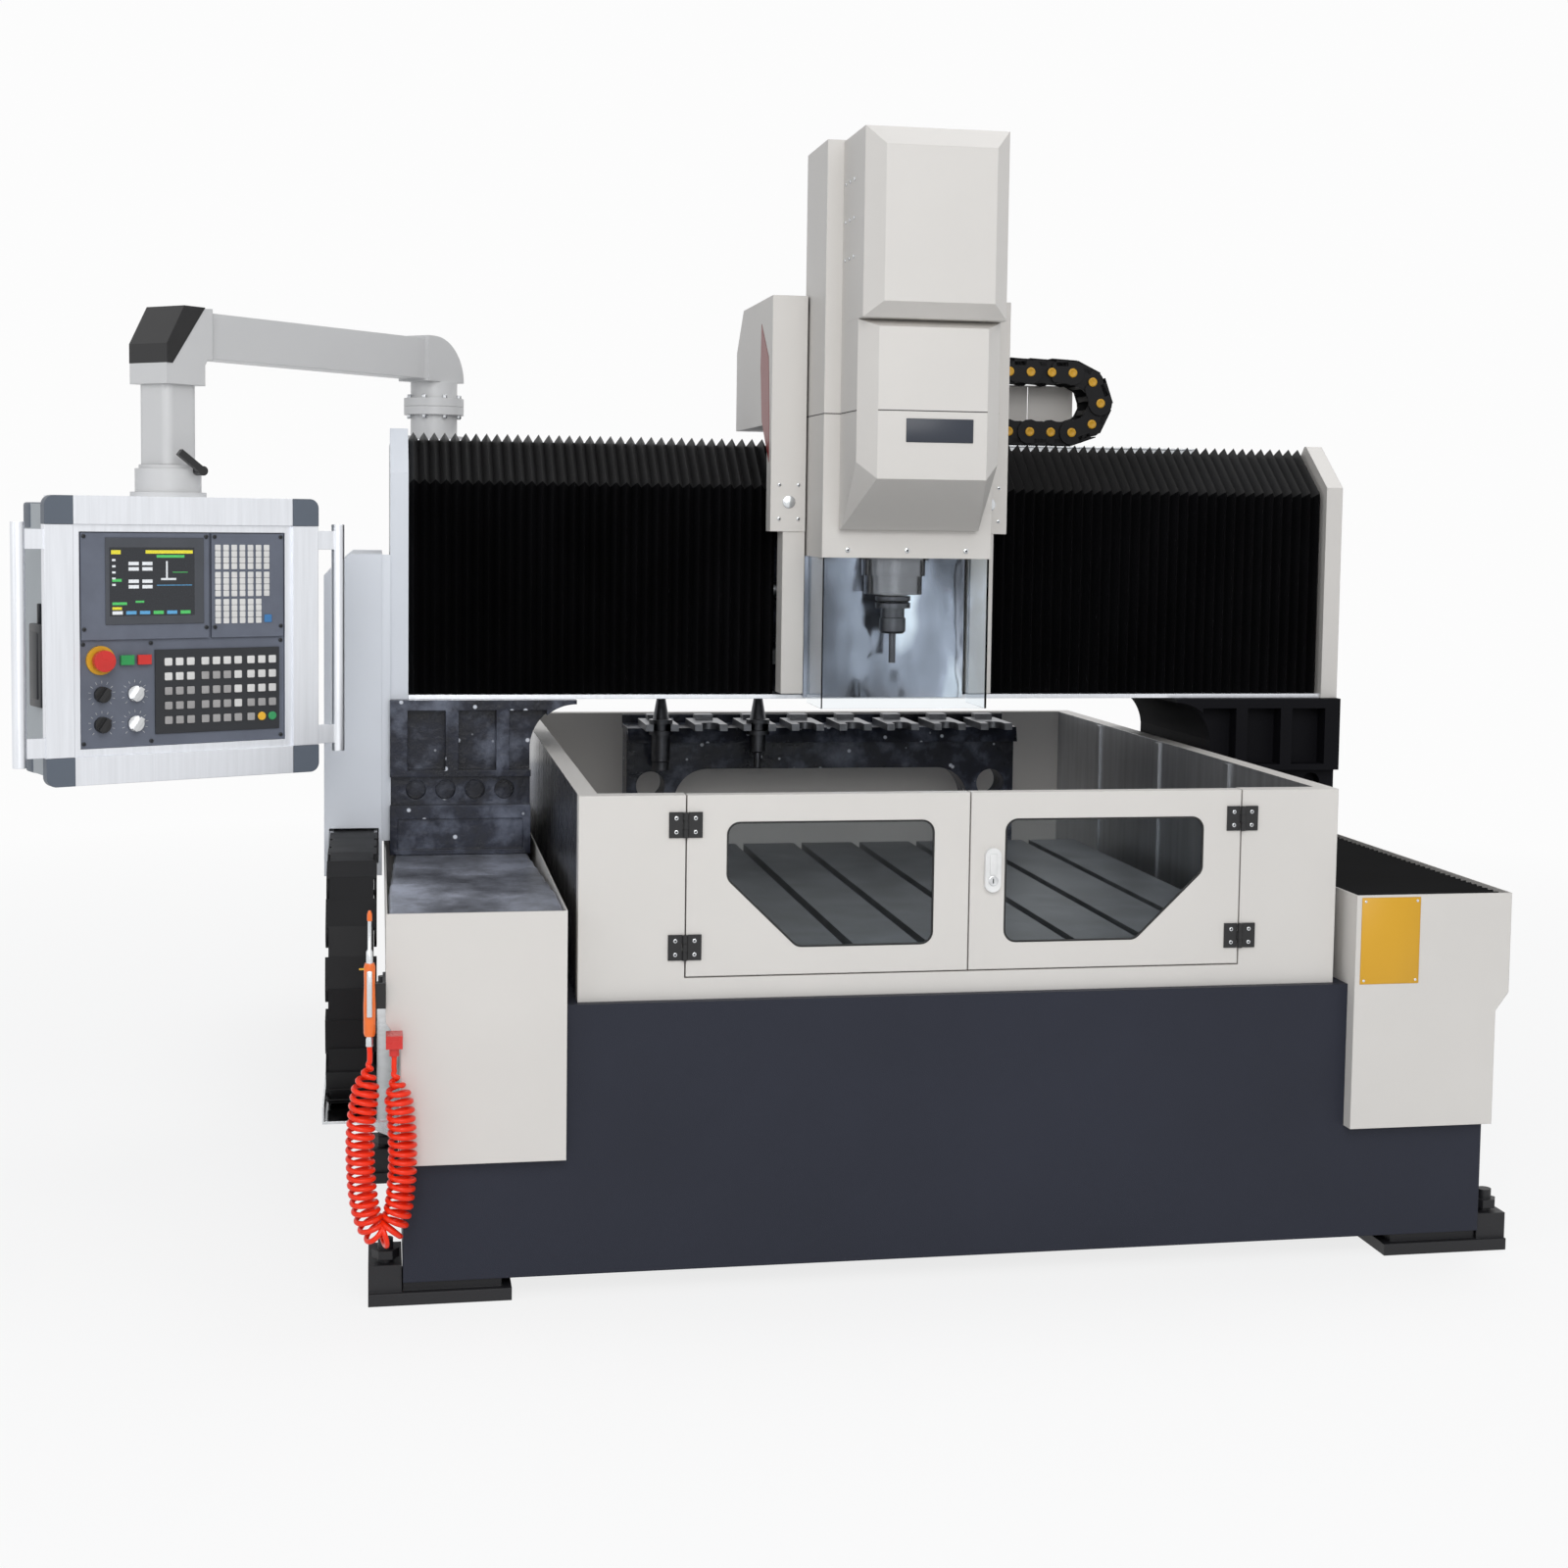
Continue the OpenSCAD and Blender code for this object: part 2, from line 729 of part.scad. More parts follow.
// Oblong handle on the right door, with its shaft and a short cam behind the door's skin
module door_latch() {
    plate_y = [guard_y0 - 12, guard_y0 - seat];
    run = latch_l - latch_w;
    color("#e8e8e6") {
        translate([latch_x, plate_y[1], latch_z]) rotate([90, 0, 0])
            linear_extrude(plate_y[1] - plate_y[0]) {
                square([latch_w, run], center = true);
                for (s = [-1, 1])
                    translate([0, s * run / 2]) circle(d = latch_w);
            }
        bar_y(latch_x, [plate_y[0] + 4, guard_y0 + sheet + 10], latch_z, latch_shaft);
        block([latch_x - 9, latch_x + 9], [guard_y0 + sheet + 4, guard_y0 + sheet + 9],
            [latch_z - 9, latch_z + 22]);
    }
}

// Right rail cover: end box in front of the bed's corner, with lips along both sides of the rails
module rail_cover() {
    outline = [[lip_in, box_low], [lip_out - box_step, box_low], [lip_out - box_step, step_z[0]],
        [lip_out, step_z[1]], [lip_out, cover_top], [lip_in, cover_top]];
    inner = [[lip_in + sheet, box_low + sheet], [lip_out - box_step - sheet, box_low + sheet],
        [lip_out - box_step - sheet, step_z[0] + 1], [lip_out - sheet, step_z[1] + 1],
        [lip_out - sheet, cover_top + eps], [lip_in + sheet, cover_top + eps]];
    box_y = [box_y0, front + box_depth];
    lip_y = [box_y[1], rear];
    difference() {
        front_prism(box_y, outline);
        front_prism([box_y0 + sheet, box_y[1] + eps], inner);
        block([0, bed_x + 0.5], [front - 0.5, box_y[1] + eps], [0, bed_top + 0.5]);
        block([shoulder_x - 0.5, bed_x + 0.5], [front - 0.5, box_y[1] + eps], [0, shoulder_top + 0.5]);
    }
    block([lip_in, lip_in + sheet], lip_y, [lip_low, cover_top]);
    block([lip_in, shoulder_x], lip_y, [lip_low, lip_low + sheet]);
    block([lip_out - sheet, lip_out], lip_y, [lip_low, cover_top]);
    block([bed_x, lip_out], lip_y, [lip_low, lip_low + sheet]);
    difference() {
        block([lip_in, lip_out], [rear, rear + sheet], [lip_low, cover_top]);
        block([y_screw_x - bracket_w / 2 - slip, y_screw_x + bracket_w / 2 + slip],
            [rear - eps, rear + sheet + eps], [lip_low - eps, y_screw_z + bracket_up + slip]);
    }
}

module left_rail_cover() {
    color("#d6d2ce") mirror([1, 0, 0]) rail_cover();
}

module right_rail_cover() {
    color("#d6d2ce") rail_cover();
}

// Nested steel plates from y0 to y1, each one inside the one before it and long enough for the span reach
module telescopic(y0, y1, reach) {
    plate = 2.5;
    drop = plate + slip;
    lap = 24;
    plate_l = reach / plate_count + lap;
    pitch = (y1 - y0 - plate_l) / (plate_count - 1);
    for (i = [0 : plate_count - 1]) {
        x = [way_x[0] + i * drop, way_x[1] - i * drop];
        top = cover_top - drop - i * drop;
        y = [y0 + i * pitch, y0 + i * pitch + plate_l];
        difference() {
            block(x, y, [shoulder_top + 20, top]);
            block([x[0] + plate, x[1] - plate], [y[0] - eps, y[1] + eps], [shoulder_top, top - plate]);
        }
    }
}

module left_way_cover() {
    color("#7d8085") mirror([1, 0, 0]) {
        telescopic(box_y0 + sheet + seat, column_y[0] - seat, column_y[0] - box_y0 + y_travel[1]);
        translate([0, rear + column_y[1], 0]) mirror([0, 1, 0])
            telescopic(column_y[1] + seat, rear - seat, rear - column_y[1] - y_travel[0]);
    }
}

// Low bellows over the right rails, in front of and behind the column
module right_way_cover() {
    z = [cover_top - 4 - low_fold, cover_top - 4];
    color("#141416")
        for (y = [[box_y0 + sheet + seat, column_y[0] - seat], [column_y[1] + seat, rear - seat]])
            translate([way_x[0], 0, 0]) rotate([90, 0, 90]) linear_extrude(way_x[1] - way_x[0])
                zigzag(y[0], y[1], z[1], z[0], low_pitch, -cloth);
}

module magazine_stand() {
    y = [rack_y - stand_d / 2, rack_y + stand_d / 2];
    cut = [y[0] - eps, y[1] + eps];
    half = rack_w / 2;
    arch_r = 90;
    hole_d = 78;
    arch = half - rack_leg - arch_r;
    spring = bed_top + arch_h - arch_r;
    color("#1c202c") difference() {
        block([-half, half], y, [bed_top, rack_top - tray_t]);
        block([-arch - arch_r, arch + arch_r], cut, [bed_top - eps, spring]);
        block([-arch, arch], cut, [bed_top - eps, bed_top + arch_h]);
        for (s = [-1, 1]) {
            bar_y(s * arch, cut, spring, 2 * arch_r);
            bar_y(s * (half - rack_leg / 2), cut, spring + arch_r / 2, hole_d);
        }
    }
}

// Folded tray on the stand: floor, sloped front skirt and rear upstand
module magazine_tray() {
    half = rack_w / 2;
    y = [rack_y - tray_d / 2, rack_y + tray_d / 2];
    color("#2a2f3c") side_prism([-half, half], [[y[0] - 12, rack_top - 40], [y[0] - 4, rack_top - 40],
        [y[0] + 6, rack_top - tray_t], [y[1], rack_top - tray_t], [y[1], rack_top + 24],
        [y[1] - 6, rack_top + 24], [y[1] - 6, rack_top], [y[0], rack_top]]);
}

function fork_x(i) = (i - (fork_count - 1) / 2) * fork_pitch;

fork_w = 88;
fork_reach = 90;
fork_y0 = rack_y - tray_d / 2 - fork_reach;
notch_y = fork_y0 + 34;

module tool_forks() {
    z = [rack_top, rack_top + fork_t];
    cut = [z[0] - eps, z[1] + eps];
    color("#b7babd")
        for (i = [0 : fork_count - 1])
            translate([fork_x(i), 0, 0]) {
                difference() {
                    block([-fork_w / 2, fork_w / 2], [fork_y0, rack_y + 20], z);
                    block([-fork_notch / 2, fork_notch / 2], [fork_y0 - eps, notch_y], cut);
                    post(0, notch_y, cut, fork_notch);
                }
                block([-24, 24], [rack_y - 30, rack_y + 14], [z[1], z[1] + 14]);
            }
}

// Taper shank tool: pull stud, cone, grooved flange, nose and cutter, hung in a fork by its groove
module rack_tool(nose_d, nose_l, cutter_d, cutter_l) {
    groove = fork_notch - 2 * seat;
    flange = fork_notch + 17;
    z0 = rack_top + fork_t / 2;
    lip = fork_t / 2 + seat;
    color("#3a3d42") translate([0, notch_y, z0]) rotate_extrude()
        polygon([[0, 104], [7, 104], [7, 90], [10, 82], [12, 76], [fork_notch / 2 - 1, 20],
            [flange / 2, 20], [flange / 2, lip], [groove / 2, lip], [groove / 2, -lip], [flange / 2, -lip],
            [flange / 2, -lip - 11], [nose_d / 2, -lip - 11], [nose_d / 2, -nose_l],
            [cutter_d / 2, -nose_l - 4], [cutter_d / 2, -nose_l - cutter_l], [0, -nose_l - cutter_l]]);
}

module stored_tools() {
    translate([fork_x(0), 0, 0]) rack_tool(50, 90, 46, 26);
    translate([fork_x(2), 0, 0]) rack_tool(40, 66, 20, 44);
}

module chain_tray() {
    y = [front + box_depth + 30, y_chain_y + (y_chain_links + 1) * link_pitch];
    x = [-y_chain_x - link_w / 2 - 8, -bed_x];
    color("#c9cbcd") {
        block(x, y, [tray_low - 6, tray_low - seat]);
        block([x[0], x[0] + 4], y, [tray_low - 6, tray_low + 34]);
        for (k = [0 : 2])
            translate([0, y[0] + 80 + k * (y[1] - y[0] - 170) / 2, 0])
                front_prism([0, 8],
                    [[x[0] + 20, tray_low - 6], [x[1], tray_low - 70], [x[1], tray_low - 6]]);
    }
}

// Side plate of one link: a disc round the pin, a bar to the next pin and a tab that carries the lid
module link_plate() {
    circle(d = link_h);
    translate([0, -link_h * 0.4]) square([link_pitch, link_h * 0.8]);
    translate([link_pitch * 0.12, eps - link_out]) square([link_pitch * 0.76, link_h / 2]);
}

// One link along +X with its pin at the origin; its plates stand further in on every second link
// A crossbar holds the plates apart, and a lid closes the link towards the outside of the bend
module chain_link(odd) {
    plate = 6;
    inset = odd ? plate + slip : 0;
    inner = link_w / 2 - inset - plate;
    across = 2 * (inner + eps);
    for (s = [-1, 1])
        translate([0, 0, s > 0 ? inner : -inner - plate]) linear_extrude(plate) link_plate();
    translate([link_pitch * 0.33, link_h * 0.35 - plate / 2, -across / 2])
        cube([link_pitch * 0.19, plate, across]);
    translate([link_pitch * 0.05, -link_out, -across / 2])
        cube([link_pitch * 0.9, lid - slip, across]);
}

// Chain in a plane: n links to the bend, round it, and m links back; the bend's centre is the origin
module chain(radius, n, m) {
    turn = 2 * asin(link_pitch / 2 / radius);
    bend = round(180 / turn);
    step = 180 / bend;
    for (i = [0 : n - 1])
        translate([-(n - i) * link_pitch, -radius, 0]) chain_link(i % 2 == 1);
    for (i = [0 : bend - 1])
        rotate([0, 0, i * step]) translate([0, -radius, 0]) rotate([0, 0, step / 2])
            chain_link((n + i) % 2 == 1);
    for (i = [0 : m - 1])
        translate([-i * link_pitch, radius, 0]) rotate([0, 0, 180]) chain_link((n + bend + i) % 2 == 1);
}

module y_cable_chain() {
    color("#17181b") translate([-y_chain_x, y_chain_y, y_chain_z + y_bend_r])
        rotate([90, 0, -90])
            chain(y_bend_r, y_chain_links, y_chain_back);
}

module x_cable_chain() {
    color("#17181b") translate([x_chain_x, x_chain_y, x_chain_z + x_bend_r])
        rotate([90, 0, 0]) chain(x_bend_r, 2 * x_chain_links, x_chain_links);
}

// Bracket beside the left end box, with the hose socket and the gun's hook
module air_fittings() {
    side = -lip_out;
    hook_y = hose_y + grip_d / 2 + seat;
    hook_z = [gun_z + 70, gun_z + 120];
    body_z = [socket_z + 16, socket_z + 42];
    color("#2b2d31") {
        block([side - 6, side], [hook_y, box_y0 + 90], hook_z);
        block([gun_x - grip_d / 2, side], [hook_y, hook_y + 6], hook_z);
    }
    color("#c03020") {
        block([socket_x - 16, socket_x + 16], [hose_y - 16, box_y0], body_z);
        post(socket_x, hose_y, [socket_z, body_z[0]], 20);
    }
}

module air_gun() {
    color("#f06e1e") {
        post(gun_x, hose_y, [gun_z, gun_z + gun_l], grip_d);
        post(gun_x, hose_y, [gun_z + gun_l, gun_z + gun_l + 100], 7);
        block([gun_x - 5, gun_x + 5], [hose_y - grip_d / 2 - 6, hose_y], [gun_z + 60, gun_z + 150]);
    }
}

// Tube swept along the hose's route, one ring of corners for each route point
function unit(v) = v / norm(v);
function heading(p, i) = unit(p[min(i + 1, len(p) - 1)] - p[max(i - 1, 0)]);

module air_hose() {
    sides = 12;
    n = len(hose_route);
    rings = [for (i = [0 : n - 1]) let (t = heading(hose_route, i), a = [0, 1, 0], b = cross(t, a))
        for (k = [0 : sides - 1])
            hose_route[i] + coil_d / 2 * (a * cos(k * 360 / sides) + b * sin(k * 360 / sides))];
    walls = [for (i = [0 : n - 2], k = [0 : sides - 1])
        let (next = (k + 1) % sides)
            [i * sides + k, i * sides + next, (i + 1) * sides + next, (i + 1) * sides + k]];
    ends = [[for (k = [sides - 1 : -1 : 0]) k], [for (k = [0 : sides - 1]) (n - 1) * sides + k]];
    color("#ff552d") polyhedron(points = rings, faces = concat(walls, ends));
}

// Right column: cast body with a curved gusset under the beam and cored pockets in front
module column() {
    pocket_d = 45;
    band_z = [column_z + 115, column_z + 182];
    panel_z = [column_z + 12, column_z + 84];
    panel_in = 18;
    hole_d = 46;
    pocket_z = [beam_low - 164, beam_low - 24];
    pocket_w = (column_x[1] - column_x[0] + gusset - 80) / 3;
    difference() {
        union() {
            block(column_x, column_y, [column_z, beam_low]);
            block([column_x[0] - gusset, column_x[0]], column_y, [beam_low - gusset, beam_low]);
        }
        bar_y(column_x[0] - gusset, [column_y[0] - eps, column_y[1] + eps], beam_low - gusset - 10,
            2 * gusset);
        for (k = [0 : 2], y = [column_y[0] - eps, column_y[1] - pocket_d])
            translate([column_x[0] - gusset + 70 + k * pocket_w, y, pocket_z[0]])
                cube([pocket_w - 30, pocket_d + eps, pocket_z[1] - pocket_z[0]]);
        block([column_x[0] - eps, column_x[1] + eps], [column_y[0] - eps, column_y[0] + 30], band_z);
        block([column_x[0] + panel_in, column_x[1] - panel_in], [column_y[0] - eps, column_y[0] + 8],
            panel_z);
        for (k = [0 : 3])
            bar_y(column_x[0] + 60 + k * (column_x[1] - column_x[0] - 120) / 3,
                [column_y[0], column_y[0] + 60], (band_z[0] + band_z[1]) / 2, hole_d);
    }
}

module right_column() {
    color("#191e2d") column();
}

module left_column() {
    color("#191e2d") mirror([1, 0, 0]) column();
}

module crossbeam() {
    chamfer = 75;
    outer = [[beam_y, beam_low], [beam_y1, beam_low], [beam_y1, beam_top], [beam_y + chamfer, beam_top],
        [beam_y, beam_top - chamfer]];
    core = [[beam_y + beam_wall, beam_low + beam_wall], [beam_y1 - beam_wall, beam_low + beam_wall],
        [beam_y1 - beam_wall, beam_top - beam_wall], [beam_y + chamfer + 20, beam_top - beam_wall],
        [beam_y + beam_wall, beam_top - chamfer - 20]];
    bays = 8;
    bay = (2 * beam_x - beam_wall) / bays;
    color("#191e2d") difference() {
        side_prism([-beam_x, beam_x], outer);
        for (k = [0 : bays - 1])
            side_prism([-beam_x + beam_wall + k * bay, -beam_x + (k + 1) * bay], core);
        for (k = [0 : bays - 1], z = [beam_low + 80, beam_low + beam_h / 2 + 30])
            translate([-beam_x + beam_wall + 25 + k * bay, beam_y1 - 60, z])
                cube([bay - beam_wall - 50, 60 + eps, beam_h / 2 - 110]);
    }
}

// Carriages on the bed rails and the ball nuts, under the columns
module y_carriages() {
    w = y_rail_w + 40;
    lift = 10;
    color("#8c9096") both_sides() {
        for (x = y_rails, y = [column_y[0] + 40, column_y[1] - 40 - block_l])
            difference() {
                block([x - w / 2, x + w / 2], [y, y + block_l], [shoulder_top + lift, column_z]);
                block([x - y_rail_w / 2 - slip, x + y_rail_w / 2 + slip], [y - eps, y + block_l + eps],
                    [shoulder_top, shoulder_top + y_rail_h + slip]);
            }
        difference() {
            block([y_screw_x - 46, y_screw_x + 46], [gantry_y - 70, gantry_y + 70],
                [shoulder_top + 4, column_z]);
            bar_y(y_screw_x, [gantry_y - 71, gantry_y + 71], y_screw_z, y_screw_d + 2 * slip);
        }
    }
}

module x_axis_drive() {
    end = beam_x - end_plate - 8;
    motor_size = [100, 120];
    color("#a9adb2") {
        for (z = x_rail_zs)
            translate([-end, beam_y, z]) rotate([90, 0, 90]) rotate([0, 0, 90])
                linear_extrude(2 * end) rail_section(x_rail_w, x_rail_h);
        bar_x([-beam_x, end], x_screw_y, x_screw_z, x_screw_d);
        for (x = [-end, end - 50])
            block([x, x + 50], [x_screw_y - 30, beam_y], [x_screw_z - 45, x_screw_z + 45]);
        translate([-beam_x, x_screw_y, x_screw_z]) rotate([0, -90, 0])
            motor(motor_size[0], motor_size[1]);
    }
}

// Flat guide bars below and above the X bellows
module bellows_rail() {
    color("#c4c7ca") {
        block([-bellows_x[1], bellows_x[1]], [bar_front, beam_y], [beam_low, bar_top]);
        block([-bellows_x[1], bellows_x[1]], [top_bar_y, top_bar_y + 18], [beam_top, beam_top + 10]);
    }
}

// Half-space above (side = 1) or below (side = -1) the mitre between the upright and the slanted folds
module mitre_cut(side) {
    reach = 3000;
    translate([0, fold_y, bend_z]) rotate([-slant / 2, 0, 0])
        translate([-reach / 2, -reach / 2, side > 0 ? 0 : -reach]) cube(reach);
}

// Bellows between x0 and x1: upright folds and slanted folds, mitred along one line
module x_bellows(x0, x1) {
    spare = 60;
    difference() {
        translate([0, 0, bar_top + seat]) linear_extrude(bend_z - bar_top + spare)
            zigzag(x0, x1, fold_y, fold_y1, fold_pitch, cloth);
        mitre_cut(1);
    }
    difference() {
        translate([0, fold_y, bend_z]) rotate([-slant, 0, 0]) translate([0, -fold_y, -spare])
            linear_extrude(slant_l + spare) zigzag(x0, x1, fold_y, fold_y1, fold_pitch, cloth);
        mitre_cut(-1);
    }
}

module x_bellows_left() {
    color("#0f0f11") x_bellows(-bellows_x[1] + seat, -bellows_x[0]);
}

module x_bellows_right() {
    color("#0f0f11") x_bellows(bellows_x[0], bellows_x[1] - seat);
}

// End plates of the bellows, the chain trough behind the beam and the left column's cover
module gantry_covers() {
    nose = 14;
    slant_y = fold_y - nose + slant_l * sin(slant);
    slant_z = bend_z + slant_l * cos(slant);
    profile = [[fold_y - nose, beam_low], [beam_y, beam_low], [beam_y, beam_top - 75],
        [beam_y + 75, beam_top], [top_bar_y, beam_top], [slant_y + 10, slant_z + nose],
        [slant_y, slant_z + nose], [fold_y - nose, bend_z + nose]];
    cover_x = [-lip_out - 138, -lip_out - 6];
    cover_ys = [chain_mouth, column_y[1] - 20];
    cover_zs = [cover_top - 67, beam_low + 337];
    trough_x = [x_chain_x - 2 * x_chain_links * link_pitch - 45, x_chain_x + x_travel / 2 + x_bend_r];
    trough_y = [x_chain_y - link_w / 2 - 8, x_chain_y + link_w / 2 + 8];
    trough_z = x_chain_z - link_out - seat;
    mouth_w = link_w / 2 + 4;
    mouth_h = link_out + 4;
    mouth_z = y_chain_z + 2 * y_bend_r;
    color("#d6d2ce") {
        both_sides() difference() {
            side_prism([beam_x - end_plate, beam_x], profile);
            bar_x([beam_x - end_plate - eps, beam_x + eps], x_screw_y, x_screw_z, x_screw_d + 2 * slip);
        }
        difference() {
            front_prism(cover_ys, [[cover_x[0], cover_zs[0]], [cover_x[1], cover_zs[0]],
                [cover_x[1], cover_zs[1]], [cover_x[0] + 60, cover_zs[1]], [cover_x[0], cover_zs[1] - 50]]);
            front_prism([cover_ys[0] + sheet, cover_ys[1] - sheet],
                [[cover_x[0] + sheet, cover_zs[0] + sheet], [cover_x[1] + eps, cover_zs[0] + sheet],
                [cover_x[1] + eps, cover_zs[1] - sheet], [cover_x[0] + 62, cover_zs[1] - sheet],
                [cover_x[0] + sheet, cover_zs[1] - 52]]);
            block([-y_chain_x - mouth_w, -y_chain_x + mouth_w],
                [chain_mouth - eps, chain_mouth + sheet + eps], [mouth_z - mouth_h, mouth_z + mouth_h]);
        }
        for (z = [column_z + 110, beam_low + 60])
            block([cover_x[1], -beam_x], [cover_ys[1] - 60, cover_ys[1]], [z, z + 60]);
        block([cover_x[0] + sheet / 2, -y_chain_x + link_w / 2], [chain_stop + seat, chain_stop + 15],
            [mouth_z - link_h / 2, mouth_z + link_h / 2]);
    }
    color("#b9bcbf") {
        block(trough_x, trough_y, [trough_z - 4, trough_z]);
        block(trough_x, [beam_y1 - 4, beam_y1], [beam_top, trough_z - 4]);
    }
}

// Flanged stub on the beam's top for the pendant arm
module arm_post() {
    color("#d9d9d7") {
        post(-swivel_x, swivel_y, [beam_top, beam_top + flange_t], flange_d);
        post(-swivel_x, swivel_y, [beam_top + flange_t, swivel_z - flange_t], swivel_d);
        post(-swivel_x, swivel_y, [swivel_z - flange_t, swivel_z - seat], flange_d);
    }
}

// Saddle plate with a pillar on each side, carriages on the beam rails and the X ball nut
module x_saddle() {
    w = x_rail_w + 44;
    color("#30343f") {
        difference() {
            block([-saddle_w / 2 + 8, saddle_w / 2 - 8], [saddle_y, saddle_y1], saddle_z);
            block([-40, 40], [saddle_y - eps, saddle_y + z_groove], [saddle_z[0] - eps, saddle_z[1] + eps]);
        }
        for (x = [-ram_w / 2, ram_w / 2 - block_l], z = x_rail_zs)
            difference() {
                block([x, x + block_l], [saddle_y1, beam_y - 9], [z - w / 2, z + w / 2]);
                block([x - eps, x + block_l + eps], [beam_y - x_rail_h - slip, beam_y],
                    [z - x_rail_w / 2 - slip, z + x_rail_w / 2 + slip]);
            }
        difference() {
            block([-60, 60], [saddle_y1, beam_y - 9], [x_screw_z - 42, x_screw_z + 42]);
            bar_x([-61, 61], x_screw_y, x_screw_z, x_screw_d + 2 * slip);
        }
    }
    color("#d6d2ce") both_sides()
        block(pillar_x, [pillar_y, saddle_y], [saddle_z[0], saddle_z[1]]);
}

// Sheet covers beside and behind the saddle, over the top of the beam
module saddle_covers() {
    bevel = 100;
    y0 = pillar_y - sheet;
    wing_y = fold_y - 4;
    side = [[y0, saddle_low], [wing_y, saddle_low], [wing_y, over_beam], [saddle_back, over_beam],
        [saddle_back, saddle_top - bevel], [saddle_back - bevel, saddle_top], [y0, saddle_top]];
    color("#d6d2ce") {
        both_sides() {
            side_prism([head_x - sheet, head_x], side);
            block([pillar_x[0], head_x - sheet], [y0, pillar_y], [saddle_low, saddle_top]);
            block([pillar_x[0], head_x - sheet], [pillar_y, saddle_y], [saddle_top - sheet, saddle_top]);
            block([saddle_w / 2, head_x - sheet], [pillar_y, wing_y], [saddle_low, saddle_low + sheet]);
        }
        side_prism([-head_x + sheet, head_x - sheet], [[saddle_y, saddle_top - sheet],
            [saddle_back - bevel - 1, saddle_top - sheet], [saddle_back - sheet, saddle_top - bevel - 1],
            [saddle_back - sheet, over_beam], [saddle_back, over_beam], [saddle_back, saddle_top - bevel],
            [saddle_back - bevel, saddle_top], [saddle_y, saddle_top]]);
        block([-head_x + sheet, head_x - sheet], [saddle_y1, saddle_back - sheet],
            [over_beam, over_beam + sheet]);
        block([chain_end - 50, chain_end - seat], [saddle_back, x_chain_y + link_w / 2],
            [x_chain_z + 2 * x_bend_r - link_h / 2, x_chain_z + 2 * x_bend_r + link_h / 2]);
    }
}

// Polished sheet hung under the ram, behind the spindle
module splash_plate() {
    x = ram_w / 2 - sheet;
    color("#c8cbce") block([-x, x], [slide_y1 - 3, slide_y1 - 1], [curtain_low + 8, slide_z[0]]);
}

// Rails, ball screw, bearing blocks, belt drive and motor of the Z axis
module z_axis_drive() {
    rail_z = [saddle_z[0] + 28, saddle_z[1] - 5];
    pulley_z = saddle_z[1] + 8;
    motor_y = saddle_y1 + 90;
    pulley_d = z_stack - 2;
    color("#a9adb2") {
        both_sides()
            translate([z_rail_x, saddle_y, rail_z[0]]) mirror([0, 1, 0])
                linear_extrude(rail_z[1] - rail_z[0]) rail_section(z_rail_w, z_rail_h);
        post(0, z_screw_y, [rail_z[0], pulley_z + 22], z_screw_d);
        for (z = [rail_z[0], rail_z[1] - 30])
            block([-36, 36], [slide_y1 + 3, saddle_y + z_groove], [z, z + 30]);
        post(0, z_screw_y, [pulley_z, pulley_z + 20], pulley_d);
        post(0, motor_y, [pulley_z, pulley_z + 20], pulley_d);
        both_sides()
            block([pulley_d / 2 - 2, pulley_d / 2], [z_screw_y, motor_y], [pulley_z + 2, pulley_z + 18]);
        block([-70, 70], [saddle_y1, motor_y + 70], [pulley_z - 22, pulley_z - 8]);
        post(0, motor_y, [pulley_z - 8, pulley_z], 24);
        translate([0, motor_y, pulley_z - 22]) mirror([0, 0, 1]) motor(120, 210);
    }
}

// Ram casting with the spindle's bore, carriages on the saddle rails and the Z ball nut
module z_slide() {
    w = z_rail_w + 46;
    carriage_h = 90;
    nut_z = [bore_top + 20, bore_top + 100];
    color("#30343f") {
        difference() {
            block([-slide_w / 2, slide_w / 2], [slide_y, slide_y1], slide_z);
            post(0, spindle_y, [slide_z[0] - eps, bore_top], spindle_d + 2 * seat);
            post(0, spindle_y, [bore_top - eps, slide_z[1] + eps], shaft_d + 8);
        }
        both_sides()
            for (z = [slide_z[0] + slide_h * 0.14, slide_z[0] + slide_h * 0.6])
                difference() {
                    block([z_rail_x - w / 2, z_rail_x + w / 2], [slide_y1, saddle_y - 4],
                        [z, z + carriage_h]);
                    block([z_rail_x - z_rail_w / 2 - slip, z_rail_x + z_rail_w / 2 + slip],
                        [saddle_y - z_rail_h - slip, saddle_y], [z - eps, z + carriage_h + eps]);
                }
        difference() {
            post(0, z_screw_y, nut_z, 46);
            post(0, z_screw_y, [nut_z[0] - eps, nut_z[1] + eps], z_screw_d + 2 * slip);
        }
    }
}

module ram_cover() {
    x = ram_w / 2;
    back_y = slide_y1 - 2;
    color("#d6d2ce") {
        difference() {
            block([-x, x], [cover_y, cover_y1], [ram_low, ram_top]);
            block([-x + sheet, x - sheet], [cover_y + sheet, cover_y1 + eps],
                [ram_low - eps, ram_top - sheet]);
            block([-x + sheet, x - sheet], [back_y, cover_y1 + eps], [ram_low - eps, ram_top + eps]);
        }
        block([-x + sheet, x - sheet], [back_y - sheet, back_y], [slide_z[1] + 6, ram_top - sheet]);
        block([-x + sheet, x - sheet], [cover_y + sheet, slide_y], [slide_z[1] - 30, slide_z[1] - 27]);
    }
}

